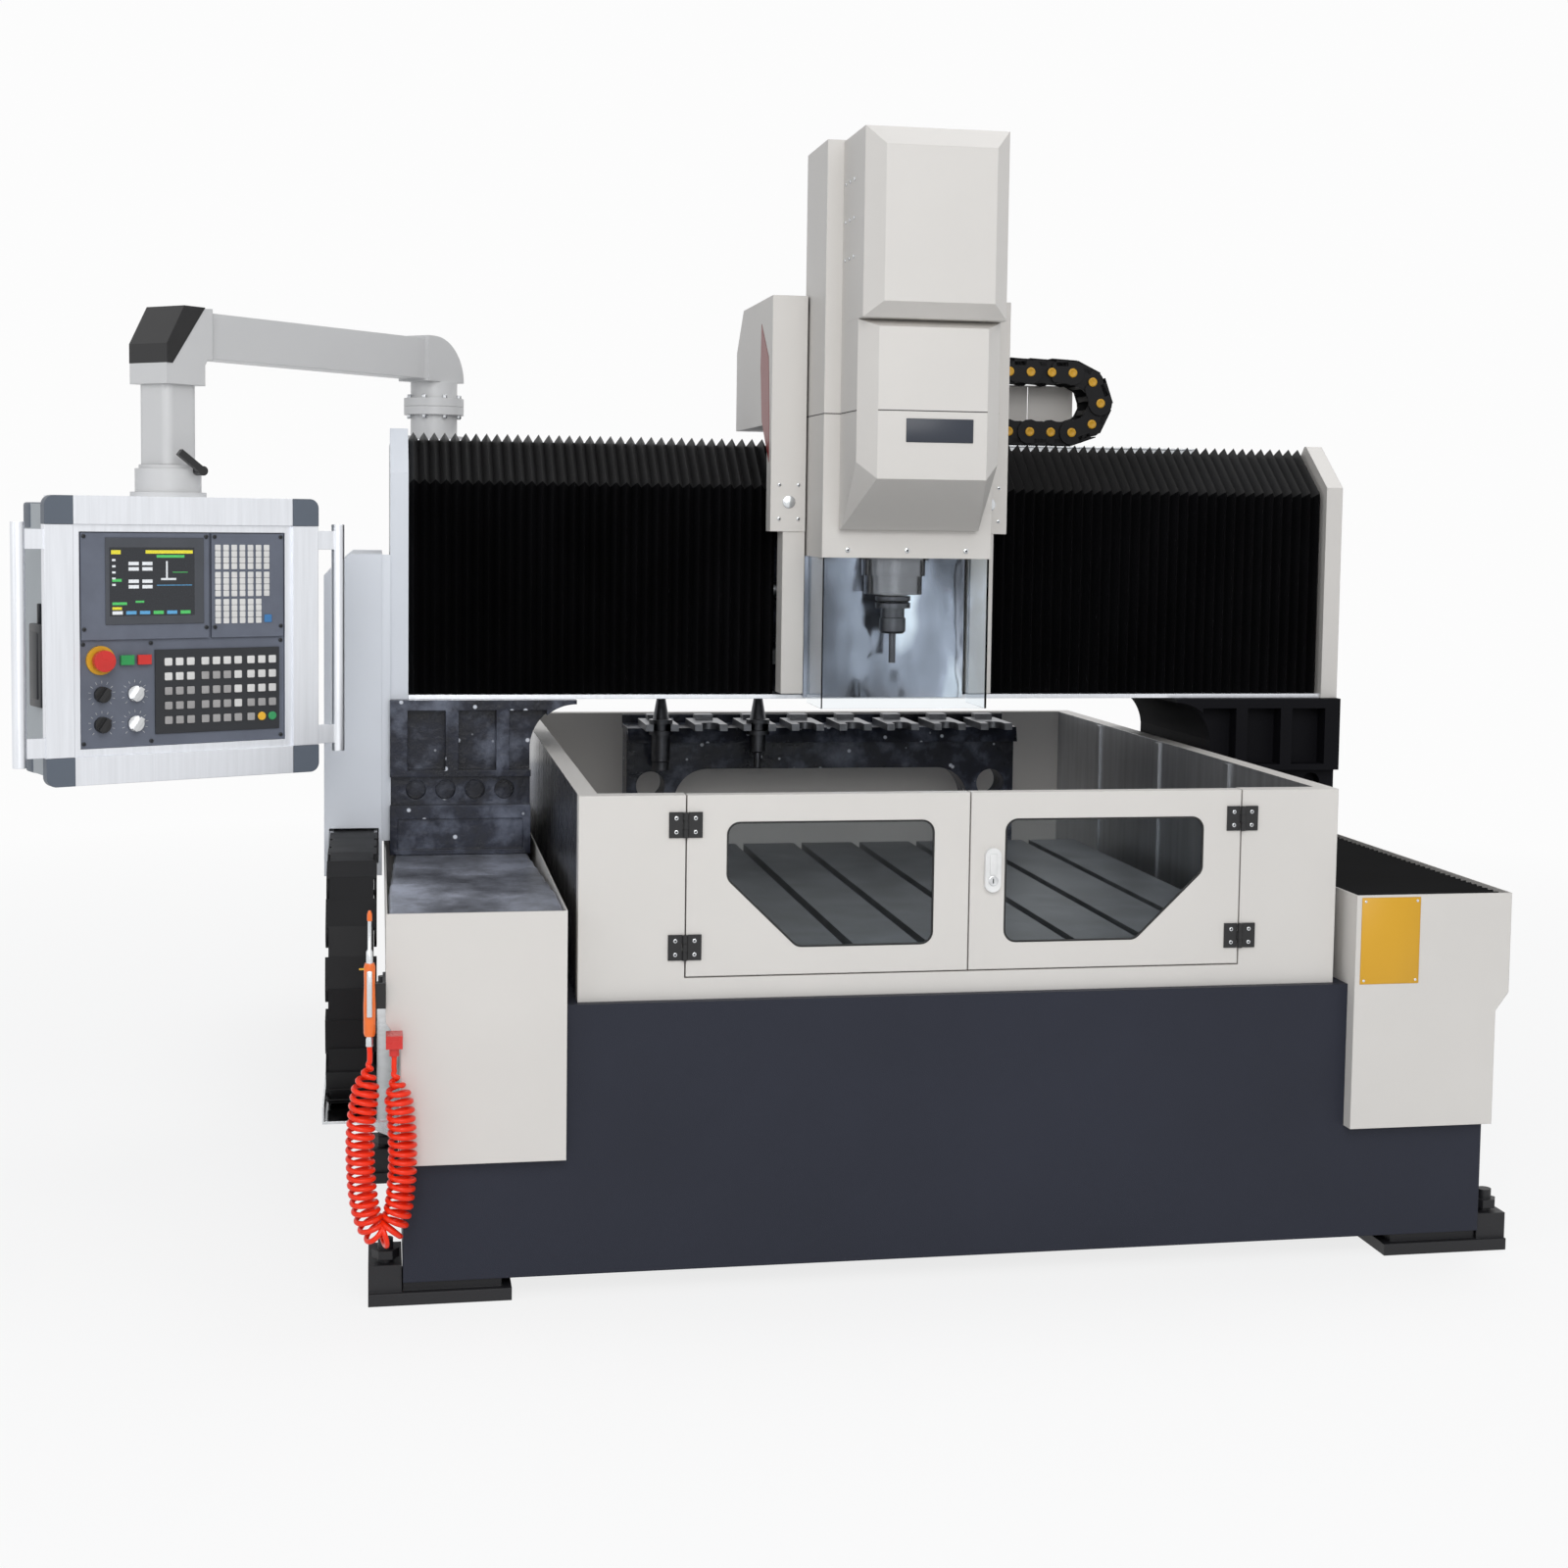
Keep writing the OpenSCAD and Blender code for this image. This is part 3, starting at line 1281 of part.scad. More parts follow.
// Hollow box in front of the ram cover: straight walls, then a bevel all round to the face
module head_box(z, face_z, d, bevel, side) {
    y = [cover_y - d, cover_y];
    module body(g) {
        hull() {
            block([-nose_x + g, nose_x - g], [y[0] + bevel, y[1] + g / 2], [z[0] + g, z[1] - g]);
            block([-nose_x + side + g, nose_x - side - g], [y[0] + g, y[0] + g + 1],
                [face_z[0] + g, face_z[1] - g]);
        }
    }
    difference() {
        body(0);
        body(sheet);
    }
}

module head_cover_upper() {
    color("#d6d2ce") head_box([nose_seam, ram_top - 4], [nose_seam + 32, ram_top - 48], nose_d, 43, 38);
}

module head_cover_lower() {
    d = nose_d - 45;
    y = [cover_y - d, cover_y];
    low = ram_low + 65;
    module body(g) {
        hull() {
            block([-nose_x + g, nose_x - g], [y[0] + 45, y[1] + g / 2], [low + 150 + g, nose_seam - g]);
            block([-nose_x + 38 + g, nose_x - 38 - g], [y[0] + g, y[0] + g + 1],
                [low + 113 + g, nose_seam - 18 - g]);
            block([-nose_x + g, nose_x - g], [y[1] - 25, y[1] + g / 2], [low + g, low + 80]);
        }
    }
    color("#d6d2ce") difference() {
        body(0);
        body(sheet);
    }
}

// Cartridge in the ram's bore, with its collar and the motor on top of the ram
module spindle_unit() {
    color("#9a9ea3") {
        difference() {
            union() {
                post(0, spindle_y, [spindle_low, bore_top - 1], spindle_d);
                post(0, spindle_y, [slide_z[0] - 26, slide_z[0]], collar_d);
                post(0, spindle_y, [spindle_low + 44, slide_z[0] - 26], spindle_d + 14);
            }
            post(0, spindle_y, [spindle_low - eps, bore_top + eps], shaft_d + 2 * slip);
        }
        difference() {
            translate([0, spindle_y, slide_z[1]]) motor(motor_w, 300);
            post(0, spindle_y, [slide_z[1] - eps, slide_z[1] + 60], shaft_d + 2 * slip);
        }
    }
}

module spindle_shaft() {
    color("#cfd1d3") difference() {
        post(0, spindle_y, [shaft_low, slide_z[1] + 55], shaft_d);
        translate([0, spindle_y, shaft_low - eps]) cylinder(h = 61, d1 = 45, d2 = 30);
    }
}

// Holder in the spindle's taper, with its flange, collet nut and cutter
module tool_holder() {
    cutter_d = 16;
    color("#4a4d52") translate([0, spindle_y, 0]) rotate_extrude()
        polygon([[0, shaft_low + 55], [15, shaft_low + 55], [22, shaft_low], [22, shaft_low - 2],
            [tool_d / 2, shaft_low - 2], [tool_d / 2, shaft_low - 12], [tool_d / 2 - 6, shaft_low - 15],
            [tool_d / 2, shaft_low - 18], [tool_d / 2, shaft_low - 30], [28, shaft_low - 30],
            [28, shaft_low - 52], [31, shaft_low - 54], [31, shaft_low - 84], [26, shaft_low - 90],
            [cutter_d / 2, shaft_low - 90], [cutter_d / 2, tool_tip], [0, tool_tip]]);
}

// Clear sheet hung under the ram cover, round three sides of the spindle
module spindle_curtain() {
    x = ram_w / 2 - sheet;
    y = [cover_y + sheet, pillar_y - 12];
    z = [curtain_low, ram_low + 30];
    color([0.8, 0.85, 0.88, 0.35]) {
        block([-x, x], [y[0], y[0] + curtain_t], z);
        both_sides() block([x - curtain_t, x], [y[0] + curtain_t, y[1]], z);
    }
}

// Square bar of width w with rounded corners, upright between two heights
module square_post(w, z) {
    r = w / 5;
    translate([0, 0, z[0]]) linear_extrude(z[1] - z[0])
        offset(r = r, $fn = 32) square(w - 2 * r, center = true);
}

// Arm between the swivel and the pendant's post, modelled along -Y from the swivel:
// rounded swivel casting, square tube, and an elbow with a sloped cap over a square post
module pendant_arm() {
    tube_w = 70;
    tube_z = [arm_z - arm_h / 2, arm_z + arm_h / 2];
    casting_z = [tube_z[0] - 5, tube_z[1] + 7];
    casting_w = tube_w + 24;
    socket = 75;
    turn_r = casting_z[1] - casting_z[0];
    elbow = elbow_w / 2;
    elbow_z = [tube_z[0] - 60, tube_z[1] + 8];
    cap_z = elbow_z[0] + 43;
    cap_lap = 1.5;
    color("#d9dadb") translate([-swivel_x, swivel_y, 0]) rotate([0, 0, -arm_angle]) {
        post(0, 0, [swivel_z, swivel_z + flange_t], flange_d);
        post(0, 0, [swivel_z + flange_t, casting_z[0] + eps], swivel_d);
        intersection() {
            block([-casting_w / 2, casting_w / 2], [-socket, swivel_d / 2], casting_z);
            union() {
                bar_x([-casting_w, casting_w], swivel_d / 2 - turn_r, casting_z[0], 2 * turn_r);
                block([-casting_w, casting_w], [-socket, swivel_d / 2 - turn_r], casting_z);
            }
        }
        block([-tube_w / 2, tube_w / 2], [socket - arm_l, -socket + eps], tube_z);
        translate([0, -arm_l, 0]) {
            side_prism([-elbow, elbow], [[-elbow, elbow_z[0]], [elbow, elbow_z[0]], [elbow, tube_z[0] - 16],
                [elbow + 8, casting_z[0]], [socket + eps, casting_z[0]], [socket + eps, casting_z[1]],
                [elbow, elbow_z[1] - 2], [-4, elbow_z[1] - 2], [2 - elbow, elbow_z[1] - 81],
                [2 - elbow, cap_z + 4], [-elbow, cap_z + 4]]);
            side_prism([-elbow - cap_lap, elbow + cap_lap], [[-elbow, cap_z], [-elbow * 0.7, cap_z],
                [elbow, elbow_z[1]], [-5, elbow_z[1]], [-elbow, elbow_z[1] - 81]]);
            square_post(post_w, [collar_top + seat, elbow_z[0] + eps]);
        }
    }
}

// Places its children in the pendant's own frame: x to the right of the operator, -y towards the operator
module at_pendant() {
    translate([post_x, post_y, 0]) rotate([0, 0, pendant_angle]) children();
}

// Outline of a rounded corner piece at the upper right of the frame, in the plane of the panel
module corner_outline() {
    r = 20;
    translate([pendant_w / 2 - corner_piece, pendant_top - corner_piece]) {
        square([corner_piece, corner_piece - r]);
        square([corner_piece - r, corner_piece]);
        translate([corner_piece - r, corner_piece - r]) circle(r = r);
    }
}

// All four corner pieces, drawn out between two depths
module corner_pieces(y) {
    for (s = [0, 1], t = [0, 1])
        translate([0, y[1], t * (pendant_low + pendant_top)]) mirror([s, 0, 0]) mirror([0, 0, t])
            rotate([90, 0, 0]) linear_extrude(y[1] - y[0]) corner_outline();
}

module pendant_case() {
    wall = 4;
    x = pendant_w / 2 - case_in;
    z = [pendant_low + case_in, pendant_top - case_in];
    color("#4c5058") at_pendant() {
        difference() {
            block([-x, x], [panel_y + wall, rear_y], z);
            block([wall - x, x - wall], [panel_y + wall - eps, rear_y - wall], [z[0] + wall, z[1] - wall]);
        }
        corner_pieces([face_y - 2, panel_y + wall + 2]);
    }
}

// Bevelled frame round the panel, a collar under the post and a grab bar on each side
module pendant_frame() {
    x = pendant_w / 2;
    depth = 50;
    bar_d = 28;
    bracket = [depth + 6, 14, 40];
    grip_y = face_y + bracket[1] / 2 + 3;
    cut = corner_piece + seat + eps;
    strip = [corner_piece - x, x - corner_piece];
    color("#c9ccd0") at_pendant() {
        difference() {
            block([-x, x], [face_y, panel_y + 4], [pendant_low, pendant_top]);
            block([-panel_w / 2, panel_w / 2], [face_y - eps, panel_y + 4 + eps],
                [panel_z0, panel_z0 + panel_h]);
            block(strip, [face_y - eps, panel_y - 6],
                [pendant_low + corner_piece, pendant_top - corner_piece]);
            for (cx = [-x - eps, x + eps - cut], cz = [pendant_low - eps, pendant_top + eps - cut])
                translate([cx, face_y - eps, cz]) cube([cut, recess + 4 + 2 * eps, cut]);
        }
        for (z = [pendant_low, pendant_top - case_in])
            block(strip, [panel_y + 4, rear_y], [z, z + case_in]);
        post(0, 0, [pendant_top, pendant_top + 10], 2 * collar_r + 20);
        post(0, 0, [pendant_top + 10, collar_top - 8], 2 * collar_r);
        post(0, 0, [collar_top - 8, collar_top], 2 * collar_r - 16);
        for (s = [-1, 1]) {
            post(s * (x + depth), grip_y, [pendant_low + 42, pendant_top - 54], bar_d);
            for (z = [pendant_low + 80, pendant_top - 88])
                translate([s * (x + depth / 2 - 3), grip_y, z]) cube(bracket, center = true);
        }
    }
}

// Plate with the screen's bezel, the keypad and the key field raised on it
module operator_panel() {
    x = panel_w / 2 - seat;
    color("#55585f") at_pendant() {
        difference() {
            block([-x, x], [panel_y, panel_y + 4], [panel_z0 + seat, panel_z0 + panel_h - seat]);
            for (p = concat([estop_at, start_at, stop_at], knob_ats))
                bar_y(p[0], [panel_y - eps, panel_y + 4 + eps], p[1], stem_d + 2 * slip);
        }
        difference() {
            bar_y(estop_at[0], [panel_y - 6, panel_y], estop_at[1], estop_d * 1.35);
            bar_y(estop_at[0], [panel_y - 7, panel_y + eps], estop_at[1], estop_d * 0.7 + 4);
        }
        block(screen_x, [panel_y - bezel, panel_y], [field_z, panel_z0 + panel_h - 2]);
        block([screen_x[1] + 6, x - 4], [panel_y - bezel, panel_y], [field_z, panel_z0 + panel_h - 2]);
        block([keys_x0, x - 12], [panel_y - bezel / 2, panel_y], [panel_z0 + 24, field_z - 23]);
    }
}

// Control on the panel: head of diameter d and height h, with a stem through the panel
module control(at, d, h, gap) {
    bar_y(at[0], [panel_y - gap - h, panel_y - gap], at[1], d);
    bar_y(at[0], [panel_y - gap - eps, panel_y + 14], at[1], stem_d);
}

module e_stop() {
    color("#d02018") at_pendant() {
        control(estop_at, estop_d, 16, 16);
        bar_y(estop_at[0], [panel_y - 17, panel_y - 7], estop_at[1], estop_d * 0.7);
    }
}

// Oblong push button with a round stem
module push_button(at) {
    gap = 6;
    head = [button_w / 2, button_h / 2];
    block([at[0] - head[0], at[0] + head[0]], [panel_y - gap - 8, panel_y - gap],
        [at[1] - head[1], at[1] + head[1]]);
    bar_y(at[0], [panel_y - gap - eps, panel_y + 14], at[1], stem_d);
}

module start_button() {
    color("#1f9a3c") at_pendant() push_button(start_at);
}

module stop_button() {
    color("#c8281e") at_pendant() push_button(stop_at);
}

// Knob with a grip bar across its face
module knob(at) {
    at_pendant() {
        control(at, knob_d, 10, seat);
        translate([at[0], 0, at[1]]) rotate([0, 35, 0])
            block([-5, 5], [panel_y - 24, panel_y - 10], [-knob_d / 2 + 1, knob_d / 2 - 1]);
    }
}

module feed_knob() {
    color("#1a1a1c") knob(knob_ats[0]);
}

module spindle_knob() {
    color("#1a1a1c") knob(knob_ats[1]);
}

module mode_knob() {
    color("#b4b7ba") knob(knob_ats[2]);
}

module axis_knob() {
    color("#b4b7ba") knob(knob_ats[3]);
}

// Lever that clamps the pendant's collar on the post
module clamp_lever() {
    lever_l = 62;
    hub_d = 20;
    hub_y = -sqrt(pow(collar_r, 2) - pow(lever_x - hub_d / 2, 2)) - seat;
    color("#1a1a1c") at_pendant() {
        bar_y(lever_x, [-collar_r - 26, hub_y], lever_z, hub_d);
        translate([lever_x, -collar_r - 18, lever_z]) rotate([0, -52, 0])
            block([-7, 7], [-8, 8], [0, lever_l]);
    }
}

bed_casting();
worktable();
levelling_feet();
y_axis_drive();
guard_walls();
guard_front();
hinge_leaves();
left_rail_cover();
right_rail_cover();
left_way_cover();
right_way_cover();
magazine_stand();
magazine_tray();
tool_forks();
stored_tools();
chain_tray();
y_cable_chain();
air_fittings();
air_gun();
air_hose();
left_column();
right_column();
crossbeam();
y_carriages();
x_axis_drive();
bellows_rail();
x_bellows_left();
x_bellows_right();
gantry_covers();
x_cable_chain();
arm_post();
x_saddle();
saddle_covers();
splash_plate();
z_axis_drive();
z_slide();
ram_cover();
head_cover_upper();
head_cover_lower();
spindle_unit();
spindle_curtain();
spindle_shaft();
tool_holder();
door_left();
window_left();
door_right();
window_right();
door_latch();
pendant_arm();
pendant_case();
pendant_frame();
operator_panel();
e_stop();
start_button();
stop_button();
feed_knob();
spindle_knob();
mode_knob();
axis_knob();
clamp_lever();
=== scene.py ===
"""Looks of a moving-gantry machining center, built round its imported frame. Row frame, metres, +Z up."""

import json
import math

import bmesh
import bpy
import numpy as np
from bpy.props import FloatProperty, FloatVectorProperty, IntProperty, PointerProperty
from mathutils import Matrix, Vector


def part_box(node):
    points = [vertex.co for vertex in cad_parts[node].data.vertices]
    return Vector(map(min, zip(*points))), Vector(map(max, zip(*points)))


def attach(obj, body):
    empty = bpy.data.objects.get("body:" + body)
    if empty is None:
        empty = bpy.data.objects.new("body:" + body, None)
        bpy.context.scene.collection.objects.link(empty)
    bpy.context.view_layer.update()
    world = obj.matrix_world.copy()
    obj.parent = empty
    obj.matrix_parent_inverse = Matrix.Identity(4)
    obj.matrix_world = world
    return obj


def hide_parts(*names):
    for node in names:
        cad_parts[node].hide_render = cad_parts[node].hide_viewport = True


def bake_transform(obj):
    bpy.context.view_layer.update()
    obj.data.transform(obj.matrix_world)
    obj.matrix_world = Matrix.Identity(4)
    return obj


bl_info = {
    "name": "Machining Center Dressing",
    "version": (1, 0, 0),
    "blender": (4, 5, 0),
    "location": "3D View > Sidebar > Machining Center",
    "description": "Finishes and fittings for the packed frame of a moving-gantry machining center",
    "category": "Object",
}

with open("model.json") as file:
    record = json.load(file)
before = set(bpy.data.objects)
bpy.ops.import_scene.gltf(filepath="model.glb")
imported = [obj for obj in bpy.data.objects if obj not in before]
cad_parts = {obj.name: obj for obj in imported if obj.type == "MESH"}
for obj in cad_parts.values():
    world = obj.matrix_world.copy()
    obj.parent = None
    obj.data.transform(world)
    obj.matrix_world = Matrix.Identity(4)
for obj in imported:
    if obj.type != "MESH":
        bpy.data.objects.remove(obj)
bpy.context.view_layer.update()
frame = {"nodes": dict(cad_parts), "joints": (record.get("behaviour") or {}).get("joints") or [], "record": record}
NODES = frame["nodes"]
JOINTS = {joint["name"]: joint for joint in frame["joints"]}
SLOT_OF = {part["node"]: part["material_slot"] for part in frame["record"]["subparts"]}

# Splash guard: its front, and its other outer sides less a skin that tells their faces from the inner ones
GUARD_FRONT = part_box("guard_front")[0].y
GUARD_SIDE, GUARD_BACK, GUARD_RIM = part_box("guard_walls")[1] - Vector((0.002, 0.002, 0.0015))
DOOR_LOW, DOOR_TOP = (corner.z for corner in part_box("door_right"))

# Gantry, head and the end box of the rail covers
COLUMN_FRONT, COLUMN_BACK = (corner.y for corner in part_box("right_column"))
GANTRY_TRAVEL = JOINTS["gantry_y"]["range_m"]
BEAM_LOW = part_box("crossbeam")[0].z
RAM_FACE, RAM_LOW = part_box("ram_cover")[0].yz
RAM_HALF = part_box("ram_cover")[1].x
BOX_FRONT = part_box("right_rail_cover")[0].y

# Clearance between pieces that move apart, and the rise of a chain link's lid, which laps the next link
SEAT = 0.0003
LID = 0.004

# Pendant and its arm; places on the panel are in the pendant's own frame
PENDANT = JOINTS["pendant_turn"]["pos_m"]
PENDANT_ANGLE = math.radians(26)
CASE_HALF = 0.277
PANEL_FACE, PANEL_LOW = -0.0845, 1.081
PLATE_LOW, PLATE_TOP = 1.303, 1.521
STOP_RING = Vector((-0.178, PANEL_FACE, 1.261))
KEY_FIELD_LEFT, KEY_FIELD_TOP = -0.066, 1.282
KNOBS = [(-0.175, 1.191), (-0.175, 1.129), (-0.106, 1.191), (-0.106, 1.129)]
SWIVEL = JOINTS["arm_swing"]["pos_m"]
ARM_ANGLE = math.radians(41.5)
ARM_LENGTH = math.hypot(PENDANT[0] - SWIVEL[0], PENDANT[1] - SWIVEL[1])

# Air line, in an upright plane before the left end box
SOCKET = Vector((-1.168, BOX_FRONT - 0.030, 0.520))
GUN = Vector((-1.215, BOX_FRONT - 0.030, 0.540))
HOSE_LINE = [(-1.168, 0.520), (-1.168, 0.490), (-1.162, 0.450), (-1.155, 0.400), (-1.152, 0.350),
             (-1.152, 0.300), (-1.155, 0.255), (-1.161, 0.212), (-1.172, 0.180), (-1.188, 0.168),
             (-1.204, 0.174), (-1.219, 0.205), (-1.228, 0.250), (-1.232, 0.300), (-1.233, 0.350),
             (-1.230, 0.400), (-1.222, 0.460), (-1.215, 0.510), (-1.215, 0.540)]


class PaintColours(bpy.types.PropertyGroup):
    """Colours of the painted and moulded surfaces"""

    ivory: FloatVectorProperty(name="Ivory", description="Coat of the covers and doors", subtype="COLOR",
                               size=3, min=0, max=1, default=(0.67, 0.645, 0.612))
    navy: FloatVectorProperty(name="Navy", description="Coat of the bed casting", subtype="COLOR", size=3,
                              min=0, max=1, default=(0.021, 0.0235, 0.036))
    casting: FloatVectorProperty(name="Casting", description="Gloss coat of the gantry castings",
                                 subtype="COLOR", size=3, min=0, max=1, default=(0.011, 0.014, 0.028))
    white: FloatVectorProperty(name="White", description="Coat of the pendant's arm", subtype="COLOR", size=3,
                               min=0, max=1, default=(0.60, 0.60, 0.60))
    slate: FloatVectorProperty(name="Slate", description="Pendant case and corners", subtype="COLOR", size=3,
                               min=0, max=1, default=(0.105, 0.125, 0.155))
    hose: FloatVectorProperty(name="Hose", description="Curly air hose", subtype="COLOR", size=3,
                              min=0, max=1, default=(0.90, 0.030, 0.004))
    gun: FloatVectorProperty(name="Gun", description="Grip of the air gun", subtype="COLOR", size=3,
                             min=0, max=1, default=(0.88, 0.17, 0.02))
    caution: FloatVectorProperty(name="Yellow", description="Pin caps, bare sign plate and stop ring",
                                 subtype="COLOR", size=3, min=0, max=1, default=(0.68, 0.36, 0.02))


class BellowsSizes(bpy.types.PropertyGroup):
    """Folded covers of the beam and the right-hand rails"""

    fold_pitch: FloatProperty(name="Fold pitch", description="Distance between the beam's folds",
                              subtype="DISTANCE", unit="LENGTH", default=0.0245, min=0.015, max=0.06)
    fold_depth: FloatProperty(name="Fold depth", description="Depth of the beam's folds", subtype="DISTANCE",
                              unit="LENGTH", default=0.024, min=0.01, max=0.04)
    cloth: FloatProperty(name="Cloth", description="Thickness of the coated cloth", subtype="DISTANCE",
                         unit="LENGTH", default=0.0022, min=0.001, max=0.004)
    low_pitch: FloatProperty(name="Rail fold pitch", description="Distance between the folds over the rails",
                             subtype="DISTANCE", unit="LENGTH", default=0.024, min=0.015, max=0.04)
    low_depth: FloatProperty(name="Rail fold depth", description="Depth of the folds over the rails",
                             subtype="DISTANCE", unit="LENGTH", default=0.018, min=0.008, max=0.022)
    slant: FloatProperty(name="Slant", description="Lean of the folds at the beam's upper edge, from upright",
                         subtype="ANGLE", unit="ROTATION", default=math.radians(52), min=0.2, max=1.4)
    plates: IntProperty(name="Plates", description="Steel plates in each half of the left way cover",
                        default=6, min=3, max=8)


class ChainSizes(bpy.types.PropertyGroup):
    """Cable chains of the gantry and the head"""

    pitch: FloatProperty(name="Pitch", description="Distance between link pins", subtype="DISTANCE",
                         unit="LENGTH", default=0.058, min=0.04, max=0.08)
    height: FloatProperty(name="Height", description="Height of a link", subtype="DISTANCE", unit="LENGTH",
                          default=0.066, min=0.04, max=0.08)
    width: FloatProperty(name="Width", description="Width of a chain", subtype="DISTANCE", unit="LENGTH",
                         default=0.105, min=0.06, max=0.12)
    head_bend: FloatProperty(name="Head bend", description="Bend radius of the head's chain",
                             subtype="DISTANCE", unit="LENGTH", default=0.079, min=0.06, max=0.1)
    gantry_bend: FloatProperty(name="Gantry bend", description="Bend radius of the gantry's chain",
                               subtype="DISTANCE", unit="LENGTH", default=0.236, min=0.2, max=0.26)


class HoseSizes(bpy.types.PropertyGroup):
    """Curly air hose"""

    tube: FloatProperty(name="Tube", description="Diameter of the tube", subtype="DISTANCE", unit="LENGTH",
                        default=0.0105, min=0.005, max=0.012)
    coil: FloatProperty(name="Coil", description="Outer diameter of the coil", subtype="DISTANCE",
                        unit="LENGTH", default=0.057, min=0.04, max=0.06)
    turns: IntProperty(name="Turns", description="Turns in the coil", default=42, min=10, max=50)


class FastenerSizes(bpy.types.PropertyGroup):
    """Screws and keys"""

    small: FloatProperty(name="Small screw", description="Head diameter of panel screws", subtype="DISTANCE",
                         unit="LENGTH", default=0.0085, min=0.004, max=0.012)
    sheet: FloatProperty(name="Cover screw", description="Head diameter of sheet cover screws",
                         subtype="DISTANCE", unit="LENGTH", default=0.012, min=0.006, max=0.02)
    flange: FloatProperty(name="Flange bolt", description="Head diameter of flange bolts", subtype="DISTANCE",
                          unit="LENGTH", default=0.012, min=0.008, max=0.014)
    key: FloatProperty(name="Key", description="Width of a key on the operator panel", subtype="DISTANCE",
                       unit="LENGTH", default=0.0160, min=0.01, max=0.022)


class StageSettings(bpy.types.PropertyGroup):
    """Floor, light and camera"""

    floor: FloatVectorProperty(name="Floor", description="Colour of the floor", subtype="COLOR", size=3,
                               min=0, max=1, default=(0.93, 0.93, 0.925))
    white_share: FloatProperty(name="White", subtype="FACTOR", default=0.82, min=0, max=0.9,
                               description="Share of plain white in the floor that the camera sees")
    key_power: FloatProperty(name="Key light", description="Power of the large front light", unit="POWER",
                             default=238, min=0, max=3000)
    fill_power: FloatProperty(name="Fill light", description="Power of the left front light", unit="POWER",
                              default=38, min=0, max=3000)
    top_power: FloatProperty(name="Top light", description="Power of the light overhead", unit="POWER",
                             default=108, min=0, max=3000)
    lens: FloatProperty(name="Lens", unit="CAMERA", default=50.56, min=20, max=120,
                        description="Focal length of the camera, in millimetres on a 36 mm sensor")


GROUPS = {
    "machine_paint": PaintColours,
    "machine_bellows": BellowsSizes,
    "machine_chain": ChainSizes,
    "machine_hose": HoseSizes,
    "machine_fasteners": FastenerSizes,
    "machine_stage": StageSettings,
}


# Materials

FINISHES = {}
WHITE = (0.975, 0.975, 0.975, 1)


def shader(name, values):
    """Node tree and Principled shader of a new finish with those values, kept under its name."""
    material = bpy.data.materials.new(name)
    material.use_nodes = True
    FINISHES[name] = material
    principled = material.node_tree.nodes["Principled BSDF"]
    for label, value in values.items():
        principled.inputs[label].default_value = value
    return material.node_tree, principled


def node(tree, kind, values=None, **settings):
    """A new node with its settings and the values of its sockets."""
    made = tree.nodes.new(kind)
    for key, value in settings.items():
        setattr(made, key, value)
    for key, value in (values or {}).items():
        made.inputs[key].default_value = value
    return made


def pattern(tree, scale, stretch=(1, 1, 1), detail=4.0, rough=0.55, kind="ShaderNodeTexNoise"):
    """A noise on Object coordinates; its factor goes to colour, gloss or bump."""
    coords = node(tree, "ShaderNodeTexCoord")
    mapping = node(tree, "ShaderNodeMapping", {"Scale": stretch})
    tree.links.new(coords.outputs["Object"], mapping.inputs["Vector"])
    noise = node(tree, kind, {"Scale": scale})
    if kind == "ShaderNodeTexNoise":
        noise.inputs["Detail"].default_value = detail
        noise.inputs["Roughness"].default_value = rough
    tree.links.new(mapping.outputs["Vector"], noise.inputs["Vector"])
    return noise


def ramp(tree, source, stops):
    """Colours along a factor, from (place, colour) stops."""
    made = node(tree, "ShaderNodeValToRGB")
    while len(made.color_ramp.elements) < len(stops):
        made.color_ramp.elements.new(0.5)
    for element, (place, colour) in zip(made.color_ramp.elements, stops):
        element.position = place
        element.color = (*colour[:3], 1)
    tree.links.new(source, made.inputs["Fac"])
    return made.outputs["Color"]


def tones(colour, *steps):
    """Stops of a ramp from (place, factor) steps, each the colour times its factor."""
    return [(place, tuple(min(1.0, c * factor) for c in colour[:3])) for place, factor in steps]


def clouds(colour, share):
    """Stops of a ramp that goes a share below and above the colour."""
    return tones(colour, (0.3, 1 - share), (0.7, 1 + share))


def spread(tree, source, low, high):
    """A factor from 0 to 1, brought to the range from low to high."""
    made = node(tree, "ShaderNodeMapRange", {"To Min": low, "To Max": high})
    tree.links.new(source, made.inputs["Value"])
    return made.outputs["Result"]


def tint(tree, principled, source, stops, rough):
    """Colour and roughness that follow one pattern."""
    factor = source.outputs["Fac"]
    colour = ramp(tree, factor, stops)
    tree.links.new(colour, principled.inputs["Base Color"])
    tree.links.new(spread(tree, factor, *rough), principled.inputs["Roughness"])
    return colour


def bump(tree, principled, source, distance, strength, edge=0.0):
    """Relief from a pattern; edge rounds the sheet's edges by that radius."""
    made = node(tree, "ShaderNodeBump", {"Strength": strength, "Distance": distance})
    tree.links.new(source.outputs["Fac"], made.inputs["Height"])
    if edge:
        rounded = node(tree, "ShaderNodeBevel", {"Radius": edge}, samples=4)
        tree.links.new(rounded.outputs["Normal"], made.inputs["Normal"])
    tree.links.new(made.outputs["Normal"], principled.inputs["Normal"])


